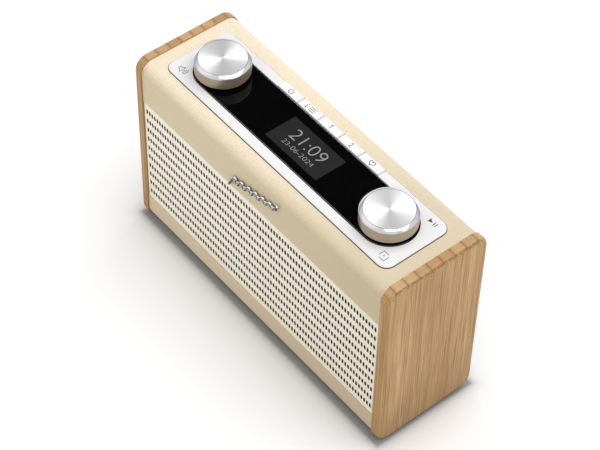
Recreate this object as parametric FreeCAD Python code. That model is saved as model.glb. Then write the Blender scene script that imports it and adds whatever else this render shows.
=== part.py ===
"""Tabletop radio: a leatherette sleeve between two laminated wooden ends.

Millimetres.  +Z is up, the front faces -Y and +X is to the right seen from the
front.  The origin is on the table under the middle of the whole outline.
The cabinet is drawn centred on Y = 0 and moved by SHIFT_Y when it is saved,
because the ornament and the aerial stand out by different amounts.
"""

import FreeCAD
import Part
import math
import os

V = FreeCAD.Vector
X_AXIS = V(1, 0, 0)
Y_AXIS = V(0, 1, 0)
Z_AXIS = V(0, 0, 1)
TINY = 1e-6

# ---- cabinet
BODY_W = 208.0          # sleeve between the two wooden ends
BODY_D = 68.0
BODY_H = 128.3
BODY_Z1 = 128.0
END_T = 6.5             # thickness of a wooden end
END_PROUD = 0.9         # how far an end stands out past the covering
END_CORNER_R = 8.4
END_EDGE_R = 2.8
ROLL_R = 7.5            # rolled long edges of the sleeve
COVER_T = 0.8           # leatherette
WALL = 8.0              # sleeve board
FOOT_H = 2.0
FOOT_R = 6.5
FOOT_EDGE = 0.5
FOOT_SEAT_Z = 1.3       # where the screw head bears inside the foot
FOOT_SCREW_Z = 0.3
FOOT_X = 88.0
FOOT_Y = 19.0
DOWEL_R = 2.5
DOWEL_HALF = 4.0
DOWEL_Y = 18.0
FIT = 0.05              # radial room round pins, screws and shafts

HALF_W = BODY_W / 2
HALF_D = BODY_D / 2
BODY_Z0 = BODY_Z1 - BODY_H
FOOT_Z0 = BODY_Z0 - FOOT_H
SLEEVE_HALF_D = HALF_D - COVER_T
INNER_HALF_D = SLEEVE_HALF_D - WALL
INNER_Z0 = BODY_Z0 + COVER_T + WALL
INNER_Z1 = BODY_Z1 - COVER_T - WALL

# ---- front: grille, cloth and baffle in one opening
FRONT_Z0 = 18.5
FRONT_Z1 = 99.0
GRILLE_GAP = 0.3
GRILLE_SET_BACK = 0.2
GRILLE_T = 0.4
GRILLE_EDGE_R = 0.3
SLOT_COLUMNS = 84
SLOT_ROWS = 10
SLOT_PITCH_X = 2.43
SLOT_PITCH_Z = 7.55
SLOT_W = 1.5
SLOT_H = 3.6
SLOT_MID_Z = 58.9
CLOTH_T = 0.5
CLOTH_MARGIN = 1.6

GRILLE_FRONT = -HALF_D + GRILLE_SET_BACK
CLOTH_FRONT = GRILLE_FRONT + GRILLE_T
BAFFLE_FRONT = CLOTH_FRONT + CLOTH_T
BAFFLE_BACK = -INNER_HALF_D

# ---- driver, measured along Y from the back of the baffle
DRIVER_X = -46.0
DRIVER_Z = 58.9
DRIVER_HOLE_R = 34.0
FLANGE_R = 39.0
FLANGE_INNER_R = 33.0
GASKET_T = 0.8
GASKET_INNER_R = 34.2
GASKET_OUTER_R = 38.5
FLANGE_T = 2.0
DRIVER_SCREW_RING = 36.3
DRIVER_SCREW_R = 1.3
DRIVER_SCREW_HEAD_R = 2.2
DRIVER_SCREW_HEAD_T = 1.6
DRIVER_SCREW_REACH = 8.0
BASKET_MOUTH_R = 33.8
BASKET_BACK_R = 22.5
BASKET_INSIDE_R = 21.0
BASKET_HOLE_R = 13.0
BASKET_DEPTH = 21.5
BASKET_FLOOR_T = 2.0
BASKET_WINDOW_R0 = 16.0     # four windows in the wall of the basket
BASKET_WINDOW_R1 = 42.0
BASKET_WINDOW_HALF = 10.0
BASKET_WINDOW_FROM = 6.0
BASKET_WINDOW_LEN = 12.0
MAGNET_R = 26.0
MAGNET_T = 14.0
MAGNET_HOLE_R = 4.0
MAGNET_EDGE = 1.0
MAGNET_GAP_R0 = 11.2
MAGNET_GAP_R1 = 12.6
MAGNET_GAP_DEPTH = 7.5
CONE_FRONT = 1.2
CONE_BACK = 13.0
CONE_RIM_R = 30.0
CONE_T = 0.6
COIL_R = 12.1
COIL_T = 0.5
COIL_BACK = 29.0
SURROUND_MID_R = 31.5
SURROUND_ROLL_R = 1.5
SURROUND_T = 0.4
DUST_CAP_R = 11.5
DUST_CAP_BACK = 12.2
DUST_CAP_DOME = 5.0
DUST_CAP_T = 0.55
ROUND_STEPS = 12            # straight pieces in the roll and the dome

# ---- control plate and lens
PLATE_HALF_X = 95.0
PLATE_Y0 = -24.4
PLATE_Y1 = 21.6
PLATE_R = 6.0
PLATE_PROUD = 1.0
PLATE_POCKET = 2.0
PLATE_FLOOR = 1.0
PLATE_GAP = 0.3
PLATE_EDGE_R = 0.5
SEAL_PROUD = 0.35       # soft ring in the gap round the plate
OPENING_HALF_X = 88.0
OPENING_Y0 = -21.4
OPENING_Y1 = 21.0
PLATE_TOP = BODY_Z1 + PLATE_PROUD
POCKET_Z = PLATE_TOP - PLATE_POCKET
PLATE_BOTTOM = POCKET_Z - PLATE_FLOOR
PLATE_MID_Y = (PLATE_Y0 + PLATE_Y1) / 2
LENS_END_X = 71.0
LENS_POCKET_R = 17.0
LENS_LIP_R = 16.85
LENS_LIP_T = 0.8
LENS_R = 16.5
LENS_T = 1.6
LENS_EDGE = 0.25
LENS_TOP = POCKET_Z + LENS_T
SHAFT_HOLE_R = 3.8

# ---- control board and what stands on it
BOARD_T = 1.6
CONTROL_BOARD_TOP = 118.6
CONTROL_BOARD_HALF_X = 86.0
CONTROL_BOARD_HALF_Y = 20.5
BOARD_CORNER_R = 2.0
SCREW_ROOM = 0.2        # radial room round a screw in a clearance hole
PLATE_POSTS = [(-82, -15), (82, -15), (-82, 13), (82, 13), (-38, -17), (38, -17)]
POST_R = 3.0
BOARD_SCREW_R = 1.0
BOARD_SCREW_HEAD_R = 2.3
BOARD_SCREW_HEAD_T = 1.4
BOARD_SCREW_REACH = 4.5
BOARD_SCREW_LEN = BOARD_T + BOARD_SCREW_REACH - 0.5

# ---- screen under the lens
SCREEN_X = 2.5
SCREEN_Y = -1.9
SCREEN_W = 43.4
SCREEN_D = 21.4
SCREEN_GLASS_T = 0.9
SCREEN_BASE_HALF_X = 25.0
SCREEN_BASE_HALF_Y = 14.0
SCREEN_BASE_T = 2.4
SCREEN_GLASS_ROOM = 0.2
SCREEN_HEADER_HALF_X = 12.0
SCREEN_HEADER_Y0 = 11.0
SCREEN_HEADER_Y1 = 13.5

# ---- keys
KEY_COUNT = 5
KEY_PITCH = 17.2
KEY_MID_X = -0.4
KEY_GAP = 0.5
KEY_Y0 = 15.75
KEY_Y1 = 21.4
KEY_BOTTOM = POCKET_Z + 0.7
KEY_TOP = PLATE_TOP + 0.5
KEY_EDGE_R = 0.45
KEY_TOP_R = 0.36
KEY_STEM_X = 3.0
KEY_STEM_Y = 1.3
KEY_STEM_BOTTOM = 122.5
KEY_STEM_ROOM = 0.3
KEY_BARB_X = 3.7
KEY_BARB_T = 0.8
KEY_BARB_DROP = 0.05
SWITCH_HALF_X = 3.0
SWITCH_HALF_Y = 1.75
SWITCH_H = 2.6
SWITCH_PLUNGER_R = 1.2
SWITCH_TOP = 121.9
KEY_NAMES = ["power", "menu", "preset_1", "preset_2", "favourite"]

# ---- encoders and knobs
ENCODER_HALF_X = 6.0
ENCODER_HALF_Y = 6.5
ENCODER_TOP = 125.2
BUSHING_R = 3.6
BUSHING_TOP = 130.6
SHAFT_R = 3.0
SHAFT_BOTTOM = 121.0
SHAFT_TOP = 136.4
SHAFT_FLAT = 2.0
SHAFT_FLAT_Z = 131.8
CAVITY_BOTTOM = 119.3
PLUNGER_R = 2.6
PLUNGER_T = 0.75
NUT_R = 5.6
NUT_T = 1.5
KNOB_R = 16.3
KNOB_SKIRT_R = 14.0
KNOB_BOTTOM = 129.3
KNOB_SKIRT_TOP = 131.0
KNOB_TOP = 138.1
KNOB_RECESS_R = 8.5
KNOB_RECESS_TOP = 131.6
KNOB_EDGE = 0.3
CAP_EDGE = 0.15
CAP_LIP = 0.35
CAP_FACE_R = 14.2
CAP_FACE_EDGE = 0.25
CAP_FACE_FLAT = 0.4
CAP_H = 1.7
CAP_DISH = 0.25

# ---- rear cover
REAR_HALF_X = 97.0
REAR_Z0 = 15.5
REAR_Z1 = 114.5
REAR_GAP = 0.3
REAR_T = 2.5
REAR_CORNER_R = 4.0
REAR_FACE = SLEEVE_HALF_D
REAR_INSIDE = REAR_FACE - REAR_T
BLOCK_HALF_X = 7.0
BLOCK_H = 10.0
BLOCK_DEPTH = 10.0
BLOCK_XS = [-86.0, 0.0, 86.0]
REAR_SCREW_R = 1.5
REAR_SCREW_HEAD_R = 3.0
REAR_SCREW_HEAD_T = 1.5
REAR_SCREW_REACH = 9.0
REAR_SCREW_SEAT = REAR_FACE - REAR_SCREW_HEAD_T - 0.1
CROSS_W = 0.8
CROSS_LEN = 3.6
CROSS_DEPTH = 0.8
VENT_COUNT = 12
VENT_PITCH = 6.0
VENT_X0 = -79.0
VENT_W = 2.4
VENT_Z0 = 40.0
VENT_Z1 = 78.0
VENT_END_R = 1.08

# ---- main board on the rear cover
MAIN_X0 = 6.0
MAIN_X1 = 88.0
MAIN_Z0 = 29.0
MAIN_Z1 = 84.0
MAIN_BACK = 18.6
MAIN_FRONT = MAIN_BACK - BOARD_T
MAIN_POST_INSET = 5.0
CHIPS = [               # x from, x to, z from, z to, height
    (52.0, 64.0, 56.0, 68.0, 1.4),
    (70.0, 77.0, 50.0, 60.0, 1.6),
    (20.0, 29.0, 36.0, 45.0, 1.6),
]
SHIELD_X0 = 14.0
SHIELD_X1 = 44.0
SHIELD_Z0 = 52.0
SHIELD_Z1 = 77.0
SHIELD_H = 4.0
SHIELD_T = 0.4
SHIELD_CORNER_R = 1.0
CAPACITOR_R = 4.0
CAPACITOR_H = 11.0
CAPACITOR_EDGE = 0.5
CAPACITORS = [(36.0, 41.0), (47.0, 41.0), (62.0, 44.0)]
SOCKET_Z = 38.0
POWER_X = 74.0
PHONES_X = 56.0
SERVICE_X = 36.0
SOCKET_FACE = REAR_FACE - 0.2
SOCKET_BODY_BACK = REAR_INSIDE - 0.1
SOCKET_ROOM = 0.2
POWER_HALF_X = 5.0
POWER_HALF_Z = 5.5
POWER_NOSE_R = 4.6
POWER_BORE_R = 2.9
POWER_PIN_R = 1.0
POWER_DEPTH = 10.0
PHONES_HALF_X = 4.0
PHONES_HALF_Z = 5.0
PHONES_NOSE_R = 3.9
PHONES_BORE_R = 1.8
PHONES_DEPTH = 14.0
SERVICE_HALF_X = 4.5
SERVICE_HALF_Z = 1.6
SERVICE_WALL = 0.35
SERVICE_DEPTH = 6.5
SERVICE_TONGUE_X = 3.3
SERVICE_TONGUE_Z = 0.35
SERVICE_TONGUE_BACK = 0.8
SERVICE_ROUND = 0.9     # share of the half height that its ends are rounded by
SERVICE_ROOM = 0.8
SERVICE_ROOM_R = 1.92
SERVICE_FACE = REAR_INSIDE + 1.3

# ---- cables inside
RIBBON_X0 = 50.0
RIBBON_X1 = 66.0
RIBBON_T = 0.35
RIBBON_Y0 = 6.0
RIBBON_Y1 = 15.3
RIBBON_BEND_Z0 = 89.0
RIBBON_BEND_Z1 = 101.0
RIBBON_BOTTOM = 78.0
RIBBON_PLUG_SIDE = 1.0
RIBBON_PLUG_UP = 3.5    # height and half depth of the upper plug
RIBBON_PLUG_HALF_Y = 2.0
RIBBON_PLUG_DOWN = 6.0  # height and depth of the lower plug
RIBBON_PLUG_DEPTH = 3.0
LEAD_R = 0.7
LEAD_DROP = 1.6
SPEAKER_LEAD_ROUTE = [  # height is above the middle of the driver
    (-23.4, -2.6, 0.0), (-16.0, -2.0, 1.0), (-7.0, 4.0, 2.5), (1.0, 11.0, 1.5), (9.0, 16.2, 0.0),
]
AERIAL_LEAD_R = 0.55
AERIAL_LEAD_ROUTE = [
    (80.8, 27.6, 96.0), (78.0, 22.0, 94.0), (75.0, 15.5, 89.0), (74.0, 14.6, 81.0), (73.5, 16.4, 72.0),
]

# ---- aerial behind the rear cover
AERIAL_X = 88.0
AERIAL_Y = HALF_D + 3.8
AERIAL_Z = 97.0
AERIAL_TUBE_R = [2.8, 2.4, 2.0]
AERIAL_BORE_R = [2.45, 2.05, 1.65]
AERIAL_ROD_R = 1.6
AERIAL_START = [6.0, 9.0, 11.0]
AERIAL_PLUG = 2.0
AERIAL_ROD_START = 13.0
AERIAL_END = [126.0, 127.5, 129.0]
AERIAL_ROD_END = 130.5
AERIAL_TIP_LEN = 6.0
AERIAL_DISC_R = 5.4
AERIAL_DISC_T = 1.8
AERIAL_STUB_R = 3.0
AERIAL_BOSS_R = 6.0
AERIAL_BOSS_DEPTH = 4.5
AERIAL_KEEPER_R = 4.2
AERIAL_KEEPER_T = 1.0
FORK_HALF_X = 3.2
FORK_INNER_Z = 2.1
FORK_OUTER_Z = 3.6
FORK_REACH = 2.9
FORK_END_R = 2.6
EYE_R = 2.2
EYE_HALF_Z = 1.9
PIN_R = 1.0
KEEPER_ROOM = 0.1
AERIAL_BASE_ROOM = 0.3
AERIAL_TIP_EDGE_R = 0.8

# ---- ornament above the grille
BADGE_X0 = -20.5
BADGE_X1 = 19.0
BADGE_Z0 = 107.3        # the bar climbs from left to right
BADGE_Z1 = 116.0
BADGE_STROKES = 13
BADGE_SWING_0 = 6.2
BADGE_SWING_1 = 3.4
BADGE_LEAN = 0.28       # sideways shift for each millimetre of height
BADGE_TURN_R = 1.15
BADGE_TUBE_R = 0.75
BADGE_Y = -HALF_D - 1.25
BADGE_PIN_R = 0.6
BADGE_PIN_LEN = 5.0
BADGE_PINS = [2, 10]    # strokes that a pin stands behind

FRONT_MOST = BADGE_Y - BADGE_TUBE_R
REAR_MOST = AERIAL_Y + FORK_REACH
SHIFT_Y = -(FRONT_MOST + REAR_MOST) / 2
SHIFT_Z = -FOOT_Z0


# ---- small helpers
def block(x0, x1, y0, y1, z0, z1):
    """A box between two corners."""
    return Part.makeBox(x1 - x0, y1 - y0, z1 - z0, V(x0, y0, z0))


def rod(radius, x, y, z, axis, length):
    """A cylinder starting at a point and running along an axis."""
    return Part.makeCylinder(radius, length, V(x, y, z), axis)


def cut(shape, tools):
    """Take every tool away from a shape."""
    for tool in tools:
        shape = shape.cut(tool)
    return shape


def join(shapes):
    """Fuse shapes into one solid and drop the seams."""
    whole = shapes[0]
    for shape in shapes[1:]:
        whole = whole.fuse(shape)
    return whole.removeSplitter()


def group(shapes):
    """Keep identical pieces as separate solids of one node."""
    return Part.makeCompound(shapes)


def edges_along(shape, axis, test):
    """Straight edges parallel to an axis whose middle passes a test."""
    found = []
    for edge in shape.Edges:
        span = edge.Vertexes[-1].Point - edge.Vertexes[0].Point
        if abs(abs(span.dot(axis)) - edge.Length) < TINY and test(edge.CenterOfMass):
            found.append(edge)
    return found


def round_edges(shape, radius, axis, test=lambda p: True):
    """Fillet the chosen straight edges."""
    return shape.makeFillet(radius, edges_along(shape, axis, test))


def flat_at(low, high, place):
    """Whether an edge from low to high lies flat at one place."""
    return abs(low - place) < TINY and abs(high - place) < TINY


def edges_at_height(shape, z):
    """Every edge that lies flat at one height."""
    return [e for e in shape.Edges if flat_at(e.BoundBox.ZMin, e.BoundBox.ZMax, z)]


def turned(points, x, y, z, axis):
    """Revolve (radius, height) points about an axis through (x, y, z)."""
    corners = [V(r, 0, h) for r, h in points]
    face = Part.Face(Part.makePolygon(corners + corners[:1]))
    solid = face.revolve(V(0, 0, 0), Z_AXIS, 360)
    solid.Placement = FreeCAD.Placement(V(x, y, z), FreeCAD.Rotation(Z_AXIS, axis))
    return solid


def wire_through(points, radius):
    """A round wire laid along a smooth curve."""
    curve = Part.BSplineCurve()
    curve.interpolate(points)
    path = Part.Wire(curve.toShape())
    start = curve.tangent(curve.FirstParameter)[0]
    ring = Part.Wire(Part.Edge(Part.Circle(points[0], start, radius)))
    return path.makePipeShell([ring], True, False)


def bent_wire(points, turn, radius):
    """A round wire of straight runs, with one radius at every corner between them."""
    edges = []
    start = points[0]
    for before, corner, after in zip(points, points[1:], points[2:]):
        to_start = (before - corner).normalize()
        to_end = (after - corner).normalize()
        half = to_start.getAngle(to_end) / 2
        reach = turn / math.tan(half)
        inward = (to_start + to_end).normalize()
        arc_from = corner + to_start * reach
        arc_to = corner + to_end * reach
        arc_mid = corner + inward * (turn / math.sin(half) - turn)
        edges.append(Part.makeLine(start, arc_from))
        edges.append(Part.Arc(arc_from, arc_mid, arc_to).toShape())
        start = arc_to
    edges.append(Part.makeLine(start, points[-1]))
    ring = Part.Wire(Part.Edge(Part.Circle(points[0], points[1] - points[0], radius)))
    return Part.Wire(edges).makePipeShell([ring], True, False)


def arc_points(middle, front, reach, height, turn):
    """(radius, depth) points on part of an ellipse that bulges forward."""
    points = []
    for i in range(ROUND_STEPS + 1):
        angle = turn * i / ROUND_STEPS
        points.append((middle + reach * math.cos(angle), front - height * math.sin(angle)))
    return points


def stadium(radius, z0, z1):
    """A long plate with round ends, centred on the two knobs."""
    middle = block(-LENS_END_X, LENS_END_X, PLATE_MID_Y - radius, PLATE_MID_Y + radius, z0, z1)
    ends = [rod(radius, side * LENS_END_X, PLATE_MID_Y, z0, Z_AXIS, z1 - z0) for side in (-1, 1)]
    return join([middle] + ends)


def cross_slot(x, z, face, depth):
    """The cross cut in a screw head that faces +Y."""
    half, wide = CROSS_LEN / 2, CROSS_W / 2
    return [
        block(x - half, x + half, face - depth, face + 1, z - wide, z + wide),
        block(x - wide, x + wide, face - depth, face + 1, z - half, z + half),
    ]


# ---- cabinet
def sleeve_block(inset):
    """The solid outline of the sleeve, drawn in by an inset."""
    z0, z1 = BODY_Z0 + inset, BODY_Z1 - inset
    body = block(-HALF_W, HALF_W, -HALF_D + inset, HALF_D - inset, z0, z1)
    return round_edges(body, ROLL_R - inset, X_AXIS)


def front_opening():
    """What is cut out of the front for the grille."""
    return block(-HALF_W - 1, HALF_W + 1, -HALF_D - 1, -INNER_HALF_D, FRONT_Z0, FRONT_Z1)


def rear_opening():
    """What is cut out of the back for the rear cover."""
    hole = block(-REAR_HALF_X, REAR_HALF_X, INNER_HALF_D, HALF_D + 1, REAR_Z0, REAR_Z1)
    return round_edges(hole, REAR_CORNER_R, Y_AXIS)


def plate_seat():
    """The rebate the control plate drops into."""
    return plate_block(PLATE_GAP, PLATE_BOTTOM, BODY_Z1 + 1)


def foot_places():
    """The four spots the radio stands on."""
    return [(x, y) for x in (-FOOT_X, FOOT_X) for y in (-FOOT_Y, FOOT_Y)]


def foot_screw_holes():
    """Clearance for the foot screws through the covering and the floor."""
    length = FOOT_H + COVER_T + WALL
    return [rod(REAR_SCREW_R + FIT, x, y, FOOT_Z0, Z_AXIS, length) for x, y in foot_places()]


def badge_spot(stroke):
    """Where a stroke of the ornament crosses its bar."""
    share = stroke / BADGE_STROKES
    x = BADGE_X0 + (BADGE_X1 - BADGE_X0) * share
    return V(x, BADGE_Y, BADGE_Z0 + (BADGE_Z1 - BADGE_Z0) * share)


def badge_pins(radius, y):
    """The two pins of the ornament, or their holes, from a given depth into the front."""
    spots = [badge_spot(stroke + 0.5) for stroke in BADGE_PINS]
    return [rod(radius, spot.x, y, spot.z, Y_AXIS, BADGE_PIN_LEN) for spot in spots]


def badge_pin_holes():
    return badge_pins(BADGE_PIN_R + FIT, BADGE_Y + BADGE_TUBE_R)


def dowel_places():
    """Middles of the dowels in an end joint."""
    low = BODY_Z0 + COVER_T + WALL / 2
    high = BODY_Z1 - COVER_T - WALL / 2
    return [(y, z) for y in (-DOWEL_Y, DOWEL_Y) for z in (low, high)]


def dowels(radius, half):
    """Every dowel, or every dowel hole, at both ends."""
    return [
        rod(radius, side * HALF_W - half, y, z, X_AXIS, 2 * half)
        for side in (-1, 1) for y, z in dowel_places()
    ]


def leatherette_wrap():
    skin = sleeve_block(0).cut(sleeve_block(COVER_T))
    skin = cut(skin, [front_opening(), rear_opening(), plate_seat()])
    return cut(skin, foot_screw_holes() + badge_pin_holes())


def cabinet_sleeve():
    inside = block(-HALF_W - 1, HALF_W + 1, -INNER_HALF_D, INNER_HALF_D, INNER_Z0, INNER_Z1)
    through = block(-OPENING_HALF_X, OPENING_HALF_X, OPENING_Y0, OPENING_Y1, INNER_Z1 - 1, BODY_Z1)
    sleeve = cut(sleeve_block(COVER_T), [inside, front_opening(), rear_opening(), plate_seat(), through])
    return cut(sleeve, foot_screw_holes() + badge_pin_holes() + dowels(DOWEL_R + FIT, DOWEL_HALF + FIT))


def end_panel(side):
    """A wooden end: round corners, eased outer edge, dowel holes inside."""
    x0, x1 = sorted((side * HALF_W, side * (HALF_W + END_T)))
    half = HALF_D + END_PROUD
    panel = block(x0, x1, -half, half, BODY_Z0 - END_PROUD, BODY_Z1 + END_PROUD)
    panel = round_edges(panel, END_CORNER_R, X_AXIS)
    outer = side * (HALF_W + END_T)
    rim = [e for e in panel.Edges if flat_at(e.BoundBox.XMin, e.BoundBox.XMax, outer)]
    panel = panel.makeFillet(END_EDGE_R, rim)
    return cut(panel, dowels(DOWEL_R + FIT, DOWEL_HALF + FIT))


def end_dowels():
    return group(dowels(DOWEL_R, DOWEL_HALF))


def foot():
    pad = rod(FOOT_R, 0, 0, 0, Z_AXIS, FOOT_H)
    pad = pad.makeChamfer(FOOT_EDGE, edges_at_height(pad, 0))
    room = rod(REAR_SCREW_HEAD_R + SCREW_ROOM, 0, 0, 0, Z_AXIS, FOOT_SEAT_Z)
    return cut(pad, [room, rod(REAR_SCREW_R + FIT, 0, 0, 0, Z_AXIS, FOOT_H)])


def feet():
    pads = []
    for x, y in foot_places():
        pad = foot()
        pad.translate(V(x, y, FOOT_Z0))
        pads.append(pad)
    return group(pads)


def foot_screws():
    screws = []
    for x, y in foot_places():
        head = rod(REAR_SCREW_HEAD_R, x, y, FOOT_SCREW_Z, Z_AXIS, FOOT_SEAT_Z - FOOT_SCREW_Z)
        screw = join([head, rod(REAR_SCREW_R, x, y, FOOT_SEAT_Z, Z_AXIS, WALL)])
        screw.translate(V(0, 0, FOOT_Z0))
        screws.append(screw)
    return group(screws)


# ---- front
def slot_outline(x, z, y):
    """One upright slot with round ends, as a closed wire at a depth y."""
    r = SLOT_W / 2
    high, low = z + SLOT_H / 2 - r, z - SLOT_H / 2 + r
    top = Part.Arc(V(x + r, y, high), V(x, y, high + r), V(x - r, y, high)).toShape()
    left = Part.makeLine(V(x - r, y, high), V(x - r, y, low))
    bottom = Part.Arc(V(x - r, y, low), V(x, y, low - r), V(x + r, y, low)).toShape()
    right = Part.makeLine(V(x + r, y, low), V(x + r, y, high))
    return Part.Wire([top, left, bottom, right])


def front_grille():
    half = HALF_W - GRILLE_GAP
    z0, z1 = FRONT_Z0 + GRILLE_GAP, FRONT_Z1 - GRILLE_GAP
    y = GRILLE_FRONT
    corners = [V(-half, y, z0), V(half, y, z0), V(half, y, z1), V(-half, y, z1), V(-half, y, z0)]
    wires = [Part.makePolygon(corners)]
    for row in range(SLOT_ROWS):
        z = SLOT_MID_Z + (row - (SLOT_ROWS - 1) / 2) * SLOT_PITCH_Z
        for column in range(SLOT_COLUMNS):
            x = (column - (SLOT_COLUMNS - 1) / 2) * SLOT_PITCH_X
            wires.append(slot_outline(x, z, y))
    sheet = Part.Face(wires, "Part::FaceMakerCheese").extrude(V(0, GRILLE_T, 0))
    shortest = z1 - z0 - TINY
    rim = [e for e in sheet.Edges if e.Length > shortest and abs(e.CenterOfMass.y - y) < TINY]
    return sheet.makeFillet(GRILLE_EDGE_R, rim)


def speaker_cloth():
    half = HALF_W - CLOTH_MARGIN
    z0, z1 = FRONT_Z0 + CLOTH_MARGIN, FRONT_Z1 - CLOTH_MARGIN
    return block(-half, half, CLOTH_FRONT, BAFFLE_FRONT, z0, z1)


def driver_screw_places():
    """Four screws on the flange, half way between the axes."""
    step = DRIVER_SCREW_RING * math.sqrt(0.5)
    return [(DRIVER_X + sx * step, DRIVER_Z + sz * step) for sx in (-1, 1) for sz in (-1, 1)]


def driver_screw_holes(radius):
    length = BAFFLE_BACK - BAFFLE_FRONT + GASKET_T + 2 * FLANGE_T
    return [rod(radius, x, BAFFLE_FRONT, z, Y_AXIS, length) for x, z in driver_screw_places()]


def baffle():
    half = HALF_W - GRILLE_GAP
    z0, z1 = FRONT_Z0 + GRILLE_GAP, FRONT_Z1 - GRILLE_GAP
    board = block(-half, half, BAFFLE_FRONT, BAFFLE_BACK, z0, z1)
    hole = rod(DRIVER_HOLE_R, DRIVER_X, BAFFLE_FRONT, DRIVER_Z, Y_AXIS, BAFFLE_BACK - BAFFLE_FRONT)
    return cut(board, [hole] + driver_screw_holes(DRIVER_SCREW_R + FIT))


def driver_turned(points):
    """Something round on the driver's axis; heights run back from the baffle."""
    return turned(points, DRIVER_X, BAFFLE_BACK, DRIVER_Z, Y_AXIS)


def driver_gasket():
    inner, outer = GASKET_INNER_R, GASKET_OUTER_R
    ring = driver_turned([(inner, 0), (outer, 0), (outer, GASKET_T), (inner, GASKET_T)])
    return cut(ring, driver_screw_holes(DRIVER_SCREW_R + SCREW_ROOM))


def basket_windows():
    """Four openings in the wall of the basket, between its arms."""
    half = BASKET_WINDOW_HALF
    frame = FreeCAD.Placement(
        V(DRIVER_X, BAFFLE_BACK + BASKET_WINDOW_FROM, DRIVER_Z), FreeCAD.Rotation(Z_AXIS, Y_AXIS)
    )
    windows = []
    for quarter in range(4):
        window = block(BASKET_WINDOW_R0, BASKET_WINDOW_R1, -half, half, 0, BASKET_WINDOW_LEN)
        window.rotate(V(0, 0, 0), Z_AXIS, 45 + 90 * quarter)
        window.Placement = frame.multiply(window.Placement)
        windows.append(window)
    return windows


def driver_frame():
    front, back = GASKET_T, GASKET_T + FLANGE_T
    rear = BASKET_DEPTH + BASKET_FLOOR_T
    shell = driver_turned([
        (FLANGE_INNER_R, front), (FLANGE_R, front), (FLANGE_R, back), (BASKET_MOUTH_R, back),
        (BASKET_BACK_R, BASKET_DEPTH), (BASKET_BACK_R, rear), (BASKET_HOLE_R, rear),
        (BASKET_HOLE_R, BASKET_DEPTH), (BASKET_INSIDE_R, BASKET_DEPTH), (FLANGE_INNER_R, back),
    ])
    return cut(shell, basket_windows() + driver_screw_holes(DRIVER_SCREW_R + SCREW_ROOM))


def driver_magnet():
    front = BASKET_DEPTH + BASKET_FLOOR_T
    back = front + MAGNET_T
    edge = MAGNET_EDGE
    disc = driver_turned([
        (MAGNET_HOLE_R, front), (MAGNET_R - edge, front), (MAGNET_R, front + edge),
        (MAGNET_R, back - edge), (MAGNET_R - edge, back), (MAGNET_HOLE_R, back),
    ])
    depth = front + MAGNET_GAP_DEPTH
    gap = driver_turned([
        (MAGNET_GAP_R0, front - 1), (MAGNET_GAP_R1, front - 1),
        (MAGNET_GAP_R1, depth), (MAGNET_GAP_R0, depth),
    ])
    return disc.cut(gap)


def driver_cone():
    coil_inside = COIL_R - COIL_T
    cone = driver_turned([
        (CONE_RIM_R - CONE_T, CONE_FRONT), (CONE_RIM_R, CONE_FRONT), (COIL_R + COIL_T, CONE_BACK),
        (COIL_R, CONE_BACK), (COIL_R, CONE_BACK - CONE_T),
    ])
    coil = driver_turned([
        (coil_inside, CONE_BACK - CONE_T), (COIL_R, CONE_BACK - CONE_T),
        (COIL_R, COIL_BACK), (coil_inside, COIL_BACK),
    ])
    return join([cone, coil])


def driver_surround():
    """A half roll between the cone and the flange."""
    small = SURROUND_ROLL_R - SURROUND_T
    outer = arc_points(SURROUND_MID_R, CONE_FRONT, SURROUND_ROLL_R, SURROUND_ROLL_R, math.pi)
    inner = arc_points(SURROUND_MID_R, CONE_FRONT, small, small, math.pi)
    return driver_turned(outer + inner[::-1])


def driver_dust_cap():
    """A shallow dome over the coil."""
    thin = DUST_CAP_T
    outer = arc_points(0, DUST_CAP_BACK, DUST_CAP_R, DUST_CAP_DOME, math.pi / 2)
    inner = arc_points(0, DUST_CAP_BACK, DUST_CAP_R - thin, DUST_CAP_DOME - thin, math.pi / 2)
    return driver_turned(outer + inner[::-1])


def driver_screws():
    screws = []
    seat = BAFFLE_BACK + GASKET_T + FLANGE_T
    face = seat + DRIVER_SCREW_HEAD_T
    for x, z in driver_screw_places():
        head = rod(DRIVER_SCREW_HEAD_R, x, seat, z, Y_AXIS, DRIVER_SCREW_HEAD_T)
        shank = rod(DRIVER_SCREW_R, x, seat - DRIVER_SCREW_REACH, z, Y_AXIS, DRIVER_SCREW_REACH)
        screws.append(cut(join([head, shank]), cross_slot(x, z, face, CROSS_DEPTH)))
    return group(screws)


def badge_corners():
    """Corners of a leaning wave whose swing dies away to the right."""
    corners = []
    for stroke in range(BADGE_STROKES + 1):
        swing = BADGE_SWING_0 + (BADGE_SWING_1 - BADGE_SWING_0) * stroke / BADGE_STROKES
        rise = swing if stroke % 2 else -swing
        corners.append(badge_spot(stroke) + V(BADGE_LEAN * rise, 0, rise))
    return corners


def badge():
    """A bright wave with a bar through it, on two pins."""
    wave = bent_wire(badge_corners(), BADGE_TURN_R, BADGE_TUBE_R)
    start, end = badge_spot(0), badge_spot(BADGE_STROKES)
    bar = rod(BADGE_TUBE_R, start.x, start.y, start.z, end - start, (end - start).Length)
    return join([wave, bar] + badge_pins(BADGE_PIN_R, BADGE_Y))


# ---- top
def key_x(index):
    """Middle of a key along the plate."""
    return KEY_MID_X + (index - (KEY_COUNT - 1) / 2) * KEY_PITCH


def key_mid_y():
    return (KEY_Y0 + KEY_Y1) / 2


def plate_screw_holes(z0, z1, radius):
    return [rod(radius, x, y, z0, Z_AXIS, z1 - z0) for x, y in PLATE_POSTS]


def plate_block(margin, z0, z1):
    """The outline of the control plate, grown by a margin."""
    body = block(
        -PLATE_HALF_X - margin, PLATE_HALF_X + margin, PLATE_Y0 - margin, PLATE_Y1 + margin, z0, z1
    )
    return round_edges(body, PLATE_R + margin, Z_AXIS)


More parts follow.
